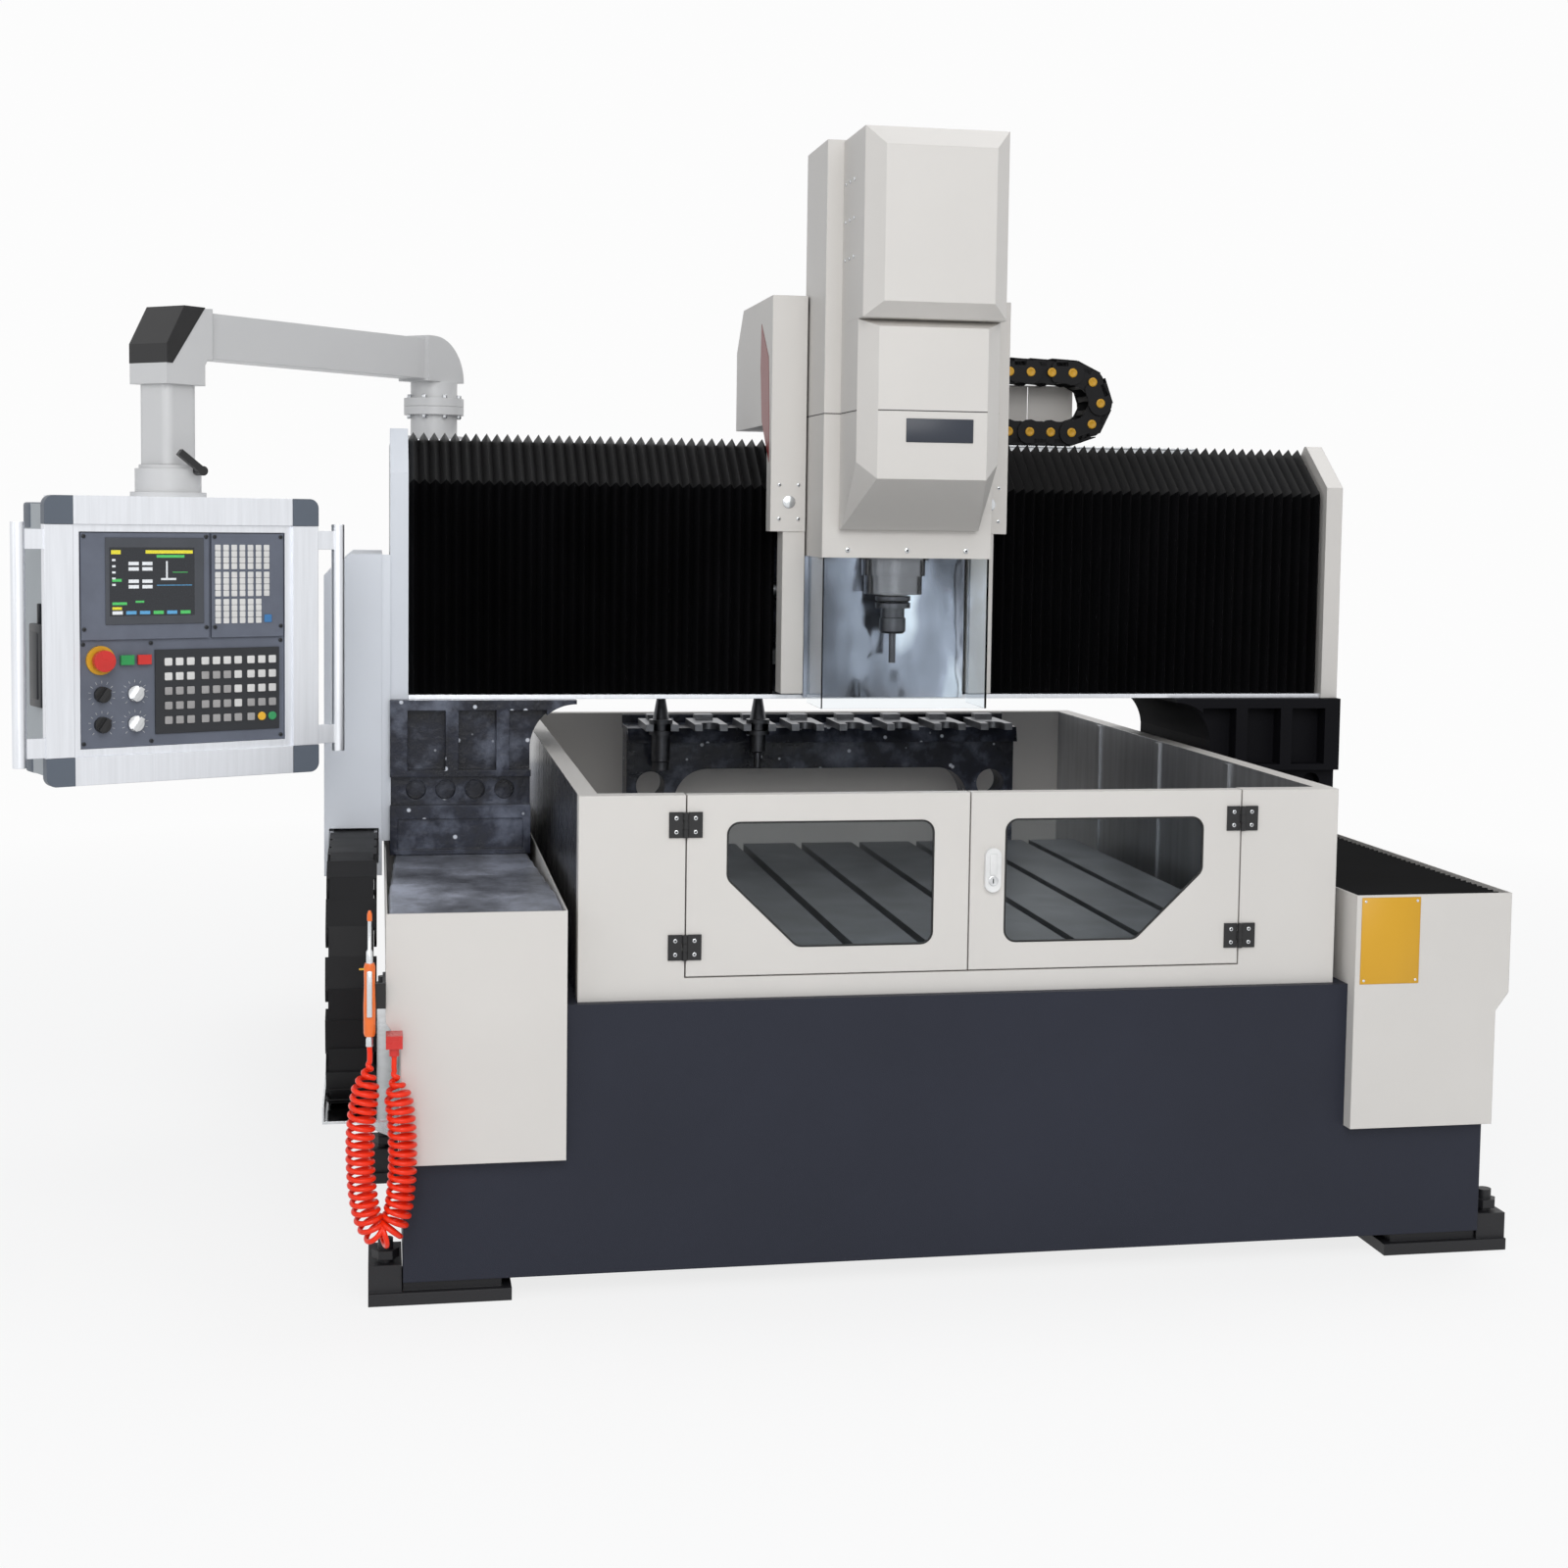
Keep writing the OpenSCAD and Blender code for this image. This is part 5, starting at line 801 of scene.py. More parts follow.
class MACHINE_OT_finishes(bpy.types.Operator):
    """Makes the finishes and gives each CAD node its own"""

    bl_idname = "machine.finishes"
    bl_label = "Finishes"

    def execute(self, context):
        make_finishes(context.scene.machine_paint)
        make_shapes()
        RULES["fittings"] = fitting_rule()
        RULES["folds"] = fold_rule()
        for name, obj in NODES.items():
            obj.data.materials.clear()
            obj.data.materials.append(FINISHES[SLOT_OF[name]])
        self.paint_bed()
        self.paint_gantry()
        self.paint_pendant()
        return {"FINISHED"}

    def paint_bed(self):
        """Hinge leaves, steel sides of the guard, tool forks and the red end of the air fitting."""
        for name in ("door_left", "door_right"):
            paint_faces(name, "black_plastic", lambda c: c.y < GUARD_FRONT - 0.0002)
        # Inner side of the right wall in darker metal: painted shade
        paint_faces("guard_walls", "guard_lining", on_painted_shade_wall)
        paint_faces("guard_walls", "guard_steel", lambda c: abs(c.x) > GUARD_SIDE and c.z < GUARD_RIM)
        paint_faces("tool_forks", "fork_steel")
        fitting_end = 0.57
        paint_faces("air_fittings", "red_plastic", lambda c: c.z < fitting_end)

    def paint_gantry(self):
        """Saddle pillars, cable tray, pale column cover with painted light, painted shade on the right column,
        polished plate.
        """
        pillar = 0.2045
        plate_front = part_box("x_bellows_left")[0].y + 0.012
        paint_faces("x_saddle", "ivory_paint", lambda c: abs(c.x) > pillar and c.y < plate_front)
        tray_front, tray_left, cover_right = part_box("crossbeam")[1].y - 0.03, -1.1, -1.0
        paint_faces("gantry_covers", "bright_steel", lambda c: c.y > tray_front and c.x > tray_left)
        # Left column cover and beam end plate in the pale coat, which is partly painted light
        paint_faces("gantry_covers", "pale_paint", lambda c: c.x < cover_right)
        # Right column painted near-black: painted shade under the beam
        paint_faces("right_column", "casting_shade")
        # Splash plate: its streaks are partly painted reflection
        paint_faces("splash_plate", "polished_plate")

    def paint_pendant(self):
        """White post, yellow stop ring, dark key field, pale rear of the case and the arm's black cap."""
        face = pendant_place().inverted()
        post_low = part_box("pendant_case")[1].z
        raised, case_front, ring_reach = PANEL_FACE - 0.0005, PANEL_FACE + 0.0065, 0.034

        def on_stop_ring(place):
            spot = face @ place
            return (spot - STOP_RING).length < ring_reach and spot.y < raised

        def on_key_field(place):
            x, y, z = face @ place
            return x > KEY_FIELD_LEFT and y < raised and z < KEY_FIELD_TOP

        paint_faces("pendant_frame", "white_paint", lambda c: c.z > post_low)
        paint_faces("operator_panel", "caution_yellow", on_stop_ring)
        paint_faces("operator_panel", "dark_plastic", on_key_field)
        paint_faces("pendant_case", "case_grey", lambda c: (face @ c).y > case_front)
        paint_faces("pendant_arm", "black_plastic", on_cap)


def on_painted_shade_wall(place):
    """Whether a place on the splash guard lies on the inner side of its right wall, which takes painted shade."""
    right_half = 0.5
    return right_half < place.x < GUARD_SIDE and place.y < GUARD_BACK and place.z < GUARD_RIM


def on_cap(place):
    """Whether a place on the arm lies on the black cap over its elbow."""
    reach, half, front, low, top = 0.06, 0.0548, -0.0535, 1.8735, 1.9935
    across, along = Matrix.Rotation(ARM_ANGLE, 2) @ Vector((place.x - SWIVEL[0], place.y - SWIVEL[1]))
    along += ARM_LENGTH
    if abs(along) > reach:
        return False
    off_slope = (along + 0.005) * 0.855 - (place.z - 1.994) * 0.518
    on_front = place.z > low and along < front
    return abs(across) > half or place.z > top or on_front or abs(off_slope) < 0.0006


class MACHINE_OT_beam_bellows(bpy.types.Operator):
    """Folded covers on both sides of the head"""

    bl_idname = "machine.beam_bellows"
    bl_label = "Beam Bellows"

    def execute(self, context):
        sizes = context.scene.machine_bellows
        lean, depth = sizes.slant, sizes.fold_depth
        front = Vector((0, -1, 0))
        up = Vector((0, math.sin(lean), math.cos(lean)))
        out = Vector((0, -math.cos(lean), math.sin(lean)))
        mitre = depth * math.tan(lean / 2)
        bend = BEAM_LOW + 0.512
        for name in ("left", "right"):
            cad = "x_bellows_" + name
            low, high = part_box(cad)
            back, run = low.y + depth, high.x - low.x
            length = (high.z - bend) / math.cos(lean) - 0.012
            corner = Vector((low.x, back, bend - mitre))
            section = [Vector((low.x, back, low.z)), Vector((low.x, back, low.z + 0.25)), corner,
                       corner + up * (length + mitre)]
            outward = [front, front, (front + out) / (1 + out.dot(front)), out]
            obj = folded_cloth("beam_bellows_" + name, section, outward, (run, 0, 0),
                               round(run / sizes.fold_pitch), depth, sizes.cloth)
            # The slanted folds take the lighter copy of the cloth, a painted sheen
            obj.data.materials.append(FINISHES["bellows_gloss"])
            for face in obj.data.polygons:
                face.material_index = int(face.center.z > bend - 0.002)
            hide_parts(cad)
            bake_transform(obj)
        return {"FINISHED"}


class MACHINE_OT_rail_bellows(bpy.types.Operator):
    """Low folded covers over the right-hand rails, in front of and behind the column"""

    bl_idname = "machine.rail_bellows"
    bl_label = "Rail Bellows"

    def execute(self, context):
        sizes = context.scene.machine_bellows
        low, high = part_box("right_way_cover")
        base = high.z - sizes.low_depth
        edge, skirt = 0.004, 0.01
        outline = [(low.x, base - skirt), (low.x + edge, base), (high.x - edge, base), (high.x, base - skirt)]
        for name, start, end, fixed_first in (("front", low.y, COLUMN_FRONT - SEAT, True),
                                              ("rear", COLUMN_BACK + SEAT, high.y, False)):
            section = [Vector((x, start, z)) for x, z in outline]
            outward = [Vector((0, 0, 1))] * len(section)
            folds = round((end - start) / sizes.low_pitch)
            obj = folded_cloth("rail_bellows_" + name, section, outward, (0, end - start, 0), folds,
                               sizes.low_depth, sizes.cloth)
            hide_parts("right_way_cover")
            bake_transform(obj)
        return {"FINISHED"}


def steady_blend(obj):
    """obj keeps its shape and is baked into its place in the row frame; it follows no body."""
    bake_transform(obj)


class MACHINE_OT_steel_plates(bpy.types.Operator):
    """Nested steel plates over the left-hand rails; the first goes with the bed, the last with the gantry, the
    others stay put
    """

    bl_idname = "machine.steel_plates"
    bl_label = "Steel Plates"

    def execute(self, context):
        count = context.scene.machine_bellows.plates
        low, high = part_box("left_way_cover")
        plate, drop, lap = 0.0025, 0.003, 0.024
        for name, y0, y1, travel, direction in (("front", low.y, COLUMN_FRONT - SEAT, GANTRY_TRAVEL[1], 1),
                                                ("rear", high.y, COLUMN_BACK + SEAT, -GANTRY_TRAVEL[0], -1)):
            span = abs(y1 - y0)
            length = (span + travel) / count + lap
            step = (span - length) / (count - 1)
            for i in range(count):
                inset = i * drop
                top = high.z - inset
                x = (low.x + inset, high.x - inset)
                start = y0 + direction * i * step
                end = start + direction * length
                obj = folded_plate("way_plate_%s_%d" % (name, i + 1), x, sorted((start, end)), top, plate)
                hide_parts("left_way_cover")
                if i == 0:
                    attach(obj, "bed")
                elif i == count - 1:
                    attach(obj, "gantry")
                else:
                    steady_blend(obj)
        return {"FINISHED"}


def folded_plate(name, x, y, top, plate):
    """Sheet folded down along both sides, with chamfered folds."""
    drop, chamfer = 0.06, 0.005
    outer = [(x[0], top - drop), (x[0], top - chamfer), (x[0] + chamfer, top), (x[1] - chamfer, top),
             (x[1], top - chamfer), (x[1], top - drop)]
    inner = [(x[1] - plate, top - drop), (x[1] - plate, top - chamfer - plate * 0.4),
             (x[1] - chamfer - plate * 0.4, top - plate), (x[0] + chamfer + plate * 0.4, top - plate),
             (x[0] + plate, top - chamfer - plate * 0.4), (x[0] + plate, top - drop)]
    bm = bmesh.new()
    prism(bm, outer + inner, y[1] - y[0], 0, frame_at((0, y[1], 0), (1, 0, 0), (0, 0, 1)))
    return from_bmesh(name, bm, ["cover_steel"])


class MACHINE_OT_cable_chains(bpy.types.Operator):
    """Cable chains of the gantry and the head: a run on each side of the bend, and the bend between them"""

    bl_idname = "machine.cable_chains"
    bl_label = "Cable Chains"

    def execute(self, context):
        sizes = context.scene.machine_chain
        for odd in (0, 1):
            keep_shape("link_%d" % odd, link(sizes, odd))
        low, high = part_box("y_cable_chain")
        half_step = math.pi / 2 / links_in_bend(sizes.pitch, sizes.gantry_bend)
        reach = sizes.gantry_bend * math.cos(half_step) + sizes.height / 2 + LID
        centre = Vector(((low.x + high.x) / 2, low.y + reach, (low.z + high.z) / 2))
        chain("gantry_chain", "y_cable_chain", centre, Vector((0, -1, 0)),
              sizes.gantry_bend, low_links=15, high_links=6, sizes=sizes)
        low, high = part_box("x_cable_chain")
        reach = sizes.head_bend + sizes.height / 2
        centre = Vector((high.x - reach, (low.y + high.y) / 2, (low.z + high.z) / 2))
        chain("head_chain", "x_cable_chain", centre, Vector((1, 0, 0)),
              sizes.head_bend, low_links=12, high_links=6, sizes=sizes, caps="caution_yellow")
        return {"FINISHED"}


def links_in_bend(pitch, radius):
    """Whole links that go round half a turn."""
    return round(math.pi / (2 * math.asin(pitch / 2 / radius)))


def link(sizes, odd):
    """One link along +X with its pin at the origin and its width along Z; every second link is narrower."""
    bm = bmesh.new()
    plate, nip, end = 0.006, 0.006, sizes.pitch * 0.98
    half = sizes.width / 2 - odd * (plate + 0.0005)
    r, waist = sizes.height / 2, sizes.height * 0.4
    outline = [(end, -waist + nip), (end, waist - nip), (end - nip, waist)]
    outline += [(r * math.cos(math.radians(a)), r * math.sin(math.radians(a))) for a in range(60, 301, 24)]
    outline += [(end - nip, -waist)]
    for side in (-1, 1):
        prism(bm, outline, plate, 0, Matrix.Translation((0, 0, half - plate if side > 0 else -half)))
    bar, bar_half = sizes.height * 0.35, 0.003
    rounded_box(bm, (sizes.pitch * 0.28, bar - bar_half, -half + plate * 0.7),
                (sizes.pitch * 0.56, bar + bar_half, half - plate * 0.7), 0.0015, segments=1)
    lid = [(-sizes.pitch * 0.2, -r + 0.0026), (-sizes.pitch * 0.2, -r - 0.0002), (sizes.pitch, -r - LID),
           (sizes.pitch, -r - LID + 0.0028)]
    prism(bm, lid, 2 * half, 0, Matrix.Translation((0, 0, -half)))
    for side in (-1, 1):
        rounded_box(bm, (sizes.pitch * 0.2, -r - 0.002, side * half - max(0, side) * plate),
                    (sizes.pitch * 0.8, -r * 0.5, side * half - min(0, side) * plate), 0.001, segments=1)
    return bm


def chain(name, cad, centre, ahead, radius, low_links, high_links, sizes, caps=None):
    """Links on both runs and round the bend.
    """
    up = Vector((0, 0, 1))
    side = ahead.cross(up)
    bend_links = links_in_bend(sizes.pitch, radius)
    step = math.pi / bend_links
    pins = []
    for i in range(low_links):
        pins.append(("low", centre - ahead * ((low_links - i) * sizes.pitch) - up * radius, ahead))
    for i in range(bend_links):
        a = i * step
        pin = centre + ahead * (radius * math.sin(a)) - up * (radius * math.cos(a))
        middle = a + step / 2
        pins.append(("bend", pin, ahead * math.cos(middle) + up * math.sin(middle)))
    for i in range(high_links):
        pins.append(("high", centre - ahead * (i * sizes.pitch) + up * radius, -ahead))
    for run, reach in (("low", low_links * sizes.pitch), ("bend", 0), ("high", high_links * sizes.pitch)):
        made = []
        for odd in (0, 1):
            chosen = [(p, d) for k, (r, p, d) in enumerate(pins) if r == run and k % 2 == odd]
            if chosen:
                places, aims = zip(*chosen)
                made.append(copies("%s_%s_%d" % (name, run, odd), "link_%d" % odd, places,
                                   [side] * len(places), aims, 1.0, 1.0, "chain_plastic", 35))
        obj = joined(name + "_" + run, made, ["chain_plastic"])
        follow_chain(obj, cad, run)
        if caps:
            front = min((sizes.width / 2, -sizes.width / 2), key=lambda w: (side * w).y)
            places = [p + side * front for r, p, d in pins if r == run]
            facing = [(side * front).normalized()] * len(places)
            dots = copies("%s_%s_caps" % (name, run), "pin_cap", places, facing, [up] * len(places),
                          0.024, 0.003, caps, 40)
            follow_chain(dots, cad, run)


def follow_chain(obj, cad, run):
    """Hides the CAD chain and bakes the piece into place; neither the bend nor the runs move."""
    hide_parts(cad)
    if run == "bend":
        steady_blend(obj)
        return
    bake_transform(obj)


def joined(name, objects, finishes):
    """One mesh from several that share their finishes."""
    bm = bmesh.new()
    for obj in objects:
        bm.from_mesh(obj.data)
        bpy.data.objects.remove(obj)
    mesh = bpy.data.meshes.new(name)
    bm.to_mesh(mesh)
    bm.free()
    return put(name, mesh, finishes, 35)


class MACHINE_OT_air_line(bpy.types.Operator):
    """Curly hose from its socket to the air gun, and the gun on its hook"""

    bl_idname = "machine.air_line"
    bl_label = "Air Line"

    def execute(self, context):
        sizes = context.scene.machine_hose
        line = np.array([(x, SOCKET.y, z) for x, z in HOSE_LINE])
        fine = smooth_line(line, 1600)
        points = coil_points(fine, sizes)
        bore = np.linspace(GUN, GUN + Vector((0, 0, 0.15)), 16)
        points = np.vstack([points[:-1], bore])
        curve = bpy.data.curves.new("air_hose_coil", "CURVE")
        curve.dimensions = "3D"
        curve.bevel_depth = sizes.tube / 2
        curve.bevel_resolution = 3
        curve.use_fill_caps = True
        spline = curve.splines.new("POLY")
        spline.points.add(len(points) - 1)
        spline.points.foreach_set("co", np.column_stack([points, np.ones(len(points))]).ravel())
        spline.use_smooth = True
        hose = bpy.data.objects.new("air_hose_coil", curve)
        context.scene.collection.objects.link(hose)
        curve.materials.append(FINISHES["hose_plastic"])
        gun = air_gun()
        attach(hose, "bed")
        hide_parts("air_hose")
        return {"FINISHED"}


def smooth_line(line, count):
    """Evenly spaced points on a smooth curve through the given ones."""
    points = []
    padded = np.vstack([2 * line[0] - line[1], line, 2 * line[-1] - line[-2]])
    for i in range(1, len(padded) - 2):
        p0, p1, p2, p3 = padded[i - 1:i + 3]
        for t in np.linspace(0, 1, 60, endpoint=False):
            points.append(0.5 * (2 * p1 + (p2 - p0) * t + (2 * p0 - 5 * p1 + 4 * p2 - p3) * t ** 2
                                 + (3 * p1 - p0 - 3 * p2 + p3) * t ** 3))
    points.append(line[-1])
    points = np.array(points)
    run = np.concatenate([[0], np.cumsum(np.linalg.norm(np.diff(points, axis=0), axis=1))])
    even = np.linspace(0, run[-1], count)
    return np.column_stack([np.interp(even, run, points[:, k]) for k in range(3)])


def coil_points(line, sizes):
    """Helix round a line in an upright plane, straight for a little way at both ends."""
    along = np.gradient(line, axis=0)
    along /= np.linalg.norm(along, axis=1)[:, None]
    across = np.tile([0.0, 1.0, 0.0], (len(line), 1))
    third = np.cross(along, across)
    u = np.linspace(0, 1, len(line))
    lead = 0.09
    ease = np.clip(np.minimum(u, 1 - u) / lead - 0.35, 0, 1)
    ease = ease * ease * (3 - 2 * ease)
    radius = (sizes.coil - sizes.tube) / 2 * ease
    angle = 2 * np.pi * sizes.turns * np.clip((u - 0.03) / 0.94, 0, 1) - np.pi / 2
    return line + across * (radius * np.sin(angle))[:, None] + third * (radius * np.cos(angle))[:, None]


def air_gun():
    """Blow gun hung by its body: fitting, grip, lever, nozzle tube and tip."""
    bm = bmesh.new()
    place = Matrix.Translation(GUN)
    fitting = [(0.0, 0.0), (0.007, 0.0), (0.007, 0.014), (0.0055, 0.018), (0.0055, 0.022), (0.0, 0.022)]
    grip = [(0.0, 0.02), (0.0095, 0.02), (0.0115, 0.026), (0.0118, 0.08), (0.0105, 0.12), (0.0112, 0.155),
            (0.009, 0.163), (0.0, 0.163)]
    nozzle = [(0.0, 0.16), (0.0065, 0.16), (0.0065, 0.185), (0.0038, 0.19), (0.0035, 0.252), (0.0, 0.252)]
    tip = [(0.0, 0.245), (0.0048, 0.245), (0.0048, 0.258), (0.0025, 0.265), (0.0, 0.265)]
    for profile, slot, sides in ((fitting, 1, 20), (grip, 0, 28), (nozzle, 1, 18), (tip, 0, 16)):
        lathe(bm, profile, slot, place, sides)
    rounded_box(bm, (-0.005, -0.019, 0.060), (0.005, -0.015, 0.150), 0.0015, 1, place)
    rounded_box(bm, (-0.004, -0.0155, 0.136), (0.004, -0.008, 0.150), 0.001, 1, place)
    lathe(bm, [(0.0, -0.007), (0.002, -0.007), (0.002, 0.007), (0.0, 0.007)], 2,
          place @ Matrix.Translation((-0.013, -0.004, 0.152)) @ Matrix.Rotation(math.pi / 2, 4, "Y"), 12)
    gun = from_bmesh("air_gun_body", bm, ["orange_plastic", "bright_steel", "caution_yellow"], 40)
    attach(gun, "bed")
    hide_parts("air_gun")
    return gun


class MACHINE_OT_door_fittings(bpy.types.Operator):
    """Window seals, hinge screws and the latch's lock"""

    bl_idname = "machine.door_fittings"
    bl_label = "Door Fittings"

    def execute(self, context):
        sizes = context.scene.machine_fasteners
        hinge_x = JOINTS["right_door_hinge"]["pos_m"][0]
        leaf_front, screw_x = GUARD_FRONT - 0.004, 0.0195
        screw_z = [z + dz for z in (DOOR_LOW + 0.034, DOOR_TOP - 0.086) for dz in (0.012, 0.040)]
        for side, name in ((-1, "left"), (1, "right")):
            for leaf, body, part in ((-1, name + "_door", "door"), (1, "bed", "frame")):
                places = [Vector((side * (hinge_x + leaf * screw_x), leaf_front, z)) for z in screw_z]
                fittings("hinge_screws_%s_%s" % (name, part), body, "cap_screw", places, Vector((0, -1, 0)),
                         sizes.small, 0.0022, "bright_steel")
            seal = window_seal("window_seal_" + name, side)
            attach(seal, name + "_door")
        lock = latch_lock()
        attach(lock, "latch")
        return {"FINISHED"}


def latch_lock():
    """Key lock with its slot below, and a raised pad above, on the front of the latch."""
    low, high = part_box("door_latch")
    centre = Vector(((low.x + high.x) / 2, low.y, (low.z + high.z) / 2))
    bm = bmesh.new()
    place = frame_at(centre + Vector((0, 0, -0.022)), (1, 0, 0), (0, 0, 1))
    collar = [(0, 0), (0.0105, 0), (0.0105, 0.0012), (0.0085, 0.002), (0.0085, 0.0012), (0, 0.0012)]
    lathe(bm, collar, 0, place, 28)
    rounded_box(bm, (-0.0012, -0.005, 0.001), (0.0012, 0.005, 0.0017), 0.0004, 1, place, 1)
    place = frame_at(centre + Vector((0, 0, 0.012)), (1, 0, 0), (0, 0, 1))
    rounded_box(bm, (-0.0075, -0.022, 0), (0.0075, 0.022, 0.0014), 0.0012, 2, place)
    return from_bmesh("latch_lock", bm, ["silver_plastic", "dark_plastic", "white_plastic"], 40)


def window_seal(name, side):
    """Thin black lip round a door's window, on the front of its sheet."""
    low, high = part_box("window_right")
    lap, lip, depth, corner = 0.012, 0.004, 0.0028, 0.027
    x = (low.x + lap, high.x - lap)
    z = (low.z + lap, high.z - lap)
    run, rise = 0.146, 0.142
    corners = [(x[0], z[0]), (x[1] - run, z[0]), (x[1], z[0] + rise), (x[1], z[1]), (x[0], z[1])]
    outer, inner = (rounded_polygon(corners, corner - inset, inset) for inset in (0.0, lip))
    bm = bmesh.new()
    front = GUARD_FRONT + 0.0002
    loops = [[bm.verts.new((side * px, y, pz)) for px, pz in ring]
             for ring, y in ((outer, front), (inner, front), (inner, front + depth), (outer, front + depth))]
    for first, second in zip(loops, loops[1:] + loops[:1]):
        band(bm, first, second)
    return from_bmesh(name, bm, ["black_plastic"])


def rounded_polygon(corners, radius, inset, steps=6):
    """Convex outline moved in by inset, with rounded corners."""
    points = []
    count = len(corners)
    for k in range(count):
        p, a, b = Vector(corners[k]), Vector(corners[k - 1]), Vector(corners[(k + 1) % count])
        u, v = (a - p).normalized(), (b - p).normalized()
        half = math.acos(max(-1, min(1, u.dot(v)))) / 2
        inner = p + (u + v).normalized() * (inset / math.sin(half))
        centre = inner + (u + v).normalized() * (radius / math.sin(half))
        first, last = centre - perpendicular(u, v) * radius, centre - perpendicular(v, u) * radius
        start = math.atan2(first.y - centre.y, first.x - centre.x)
        turn = math.atan2(last.y - centre.y, last.x - centre.x) - start
        turn = (turn + math.pi) % (2 * math.pi) - math.pi
        for i in range(steps + 1):
            a = start + turn * i / steps
            points.append((centre.x + radius * math.cos(a), centre.y + radius * math.sin(a)))
    return points


def perpendicular(u, v):
    """Unit vector square to u, on the side that v points to."""
    square = Vector((-u.y, u.x))
    return square if square.dot(v) > 0 else -square


class MACHINE_OT_head_fittings(bpy.types.Operator):
    """Seams, screws, bare plates and the red inlay of the head"""

    bl_idname = "machine.head_fittings"
    bl_label = "Head Fittings"

    def execute(self, context):
        sizes = context.scene.machine_fasteners
        out = Vector((0, -1, 0))
        low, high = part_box("head_cover_lower")
        seam_z = low.z + 0.262
        seams = head_seams(low, high, seam_z)
        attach(seams, "ram")
        bm = bmesh.new()
        rounded_box(bm, (-0.060, low.y - 0.002, seam_z - 0.068), (0.092, low.y, seam_z - 0.016), 0.0008)
        plate = from_bmesh("head_plate", bm, ["bare_plate"], 40)
        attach(plate, "ram")
        apron = [Vector((x, RAM_FACE, RAM_LOW + 0.018)) for x in (-0.140, 0.0, 0.140)]
        fittings("apron_screws", "ram", "pan_screw", apron, out, sizes.sheet, 0.004, "bright_steel")
        upper_low, upper_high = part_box("head_cover_upper")
        for side, name in ((-1, "nose_side_screws"), (1, "nose_side_screws_right")):
            places = [Vector((-side * upper_low.x, upper_high.y - 0.030 - 0.045 * k,
                              upper_high.z - 0.10 - 0.085 * row)) for row in range(3) for k in range(3)]
            fittings(name, "ram", "pan_screw", places, Vector((side, 0, 0)), sizes.small, 0.003,
                     "bright_steel")
        covers_low, covers_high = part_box("saddle_covers")
        places = [Vector((s * x, covers_low.y, covers_low.z + z)) for s in (-1, 1) for x in (0.222, 0.268)
                  for z in (0.030, 0.110)]
        fittings("saddle_screws", "head", "pan_screw", places, out, sizes.small, 0.003, "bright_steel")
        places = [Vector((s * 0.245, covers_low.y, covers_low.z + 0.070)) for s in (-1, 1)]
        fittings("saddle_plugs", "head", "round_key", places, out, 0.030, 0.004, "bright_steel")
        for side, name in ((-1, "left"), (1, "right")):
            inlay = red_inlay("red_inlay_" + name, side, covers_high)
            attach(inlay, "head")
        panel = rear_panel("head_rear_panel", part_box("x_cable_chain"), covers_high)
        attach(panel, "head")
        return {"FINISHED"}


def head_seams(low, high, seam_z):
    """Dark joint between the ram's upper and lower covers, on the sides and the fronts."""
    lip, width, corner, bevel, plate, depth = 0.0006, 0.0022, 0.045, 0.038, 0.162, 0.24
    runs = [((low.x - lip, low.y + corner), (low.x, high.y)),
            ((high.x, low.y + corner), (high.x + lip, high.y)),
            ((low.x + bevel, low.y - lip), (high.x - bevel, low.y + 0.0004))]
    for s in (-1, 1):
        x0, x1 = sorted((s * RAM_HALF, s * plate))
        runs.append(((x0, RAM_FACE - lip), (x1, RAM_FACE)))
        runs.append(((s * RAM_HALF - lip, RAM_FACE), (s * RAM_HALF + lip, RAM_FACE + depth)))
    bm = bmesh.new()
    for start, end in runs:
        rounded_box(bm, (*start, seam_z), (*end, seam_z + width), 0.0002, segments=1)
    return from_bmesh("head_seams", bm, ["seam"])


def rear_panel(name, chain_box, covers_high):
    """Folded sheet on the back of the head, behind its cable chain, with two upright seams."""
    bm = bmesh.new()
    y = chain_box[1].y + 0.014
    x0, x1 = covers_high.x - 0.012, 0.660
    low, top = chain_box[0].z + 0.020, 1.934
    step = (x1 - x0) / 3
    for k in range(3):
        rounded_box(bm, (x0 + k * step, y - 0.003, low), (x0 + (k + 1) * step - 0.002, y, top), 0.0008)
    rounded_box(bm, (x0, y - 0.018, top - 0.003), (x1 - 0.002, y - 0.001, top), 0.0008)
    rounded_box(bm, (x0, covers_high.y - 0.02, low), (x0 + 0.003, y - 0.001, top), 0.0008)
    return from_bmesh(name, bm, ["ivory_paint"], 40)


def red_inlay(name, side, high):
    """Leaning red strip let into the side of a saddle cover."""
    outline = [(-0.352, 2.035), (-0.345, 1.93), (-0.37, 1.80), (-0.455, 1.72), (-0.475, 1.70), (-0.475, 1.80),
               (-0.455, 1.95)]
    bm = bmesh.new()
    x = side * high.x
    prism(bm, outline, 0.0008 * side, 0, frame_at((x, 0, 0), (0, 1, 0), (0, 0, 1)))
    return from_bmesh(name, bm, ["stripe_red"])


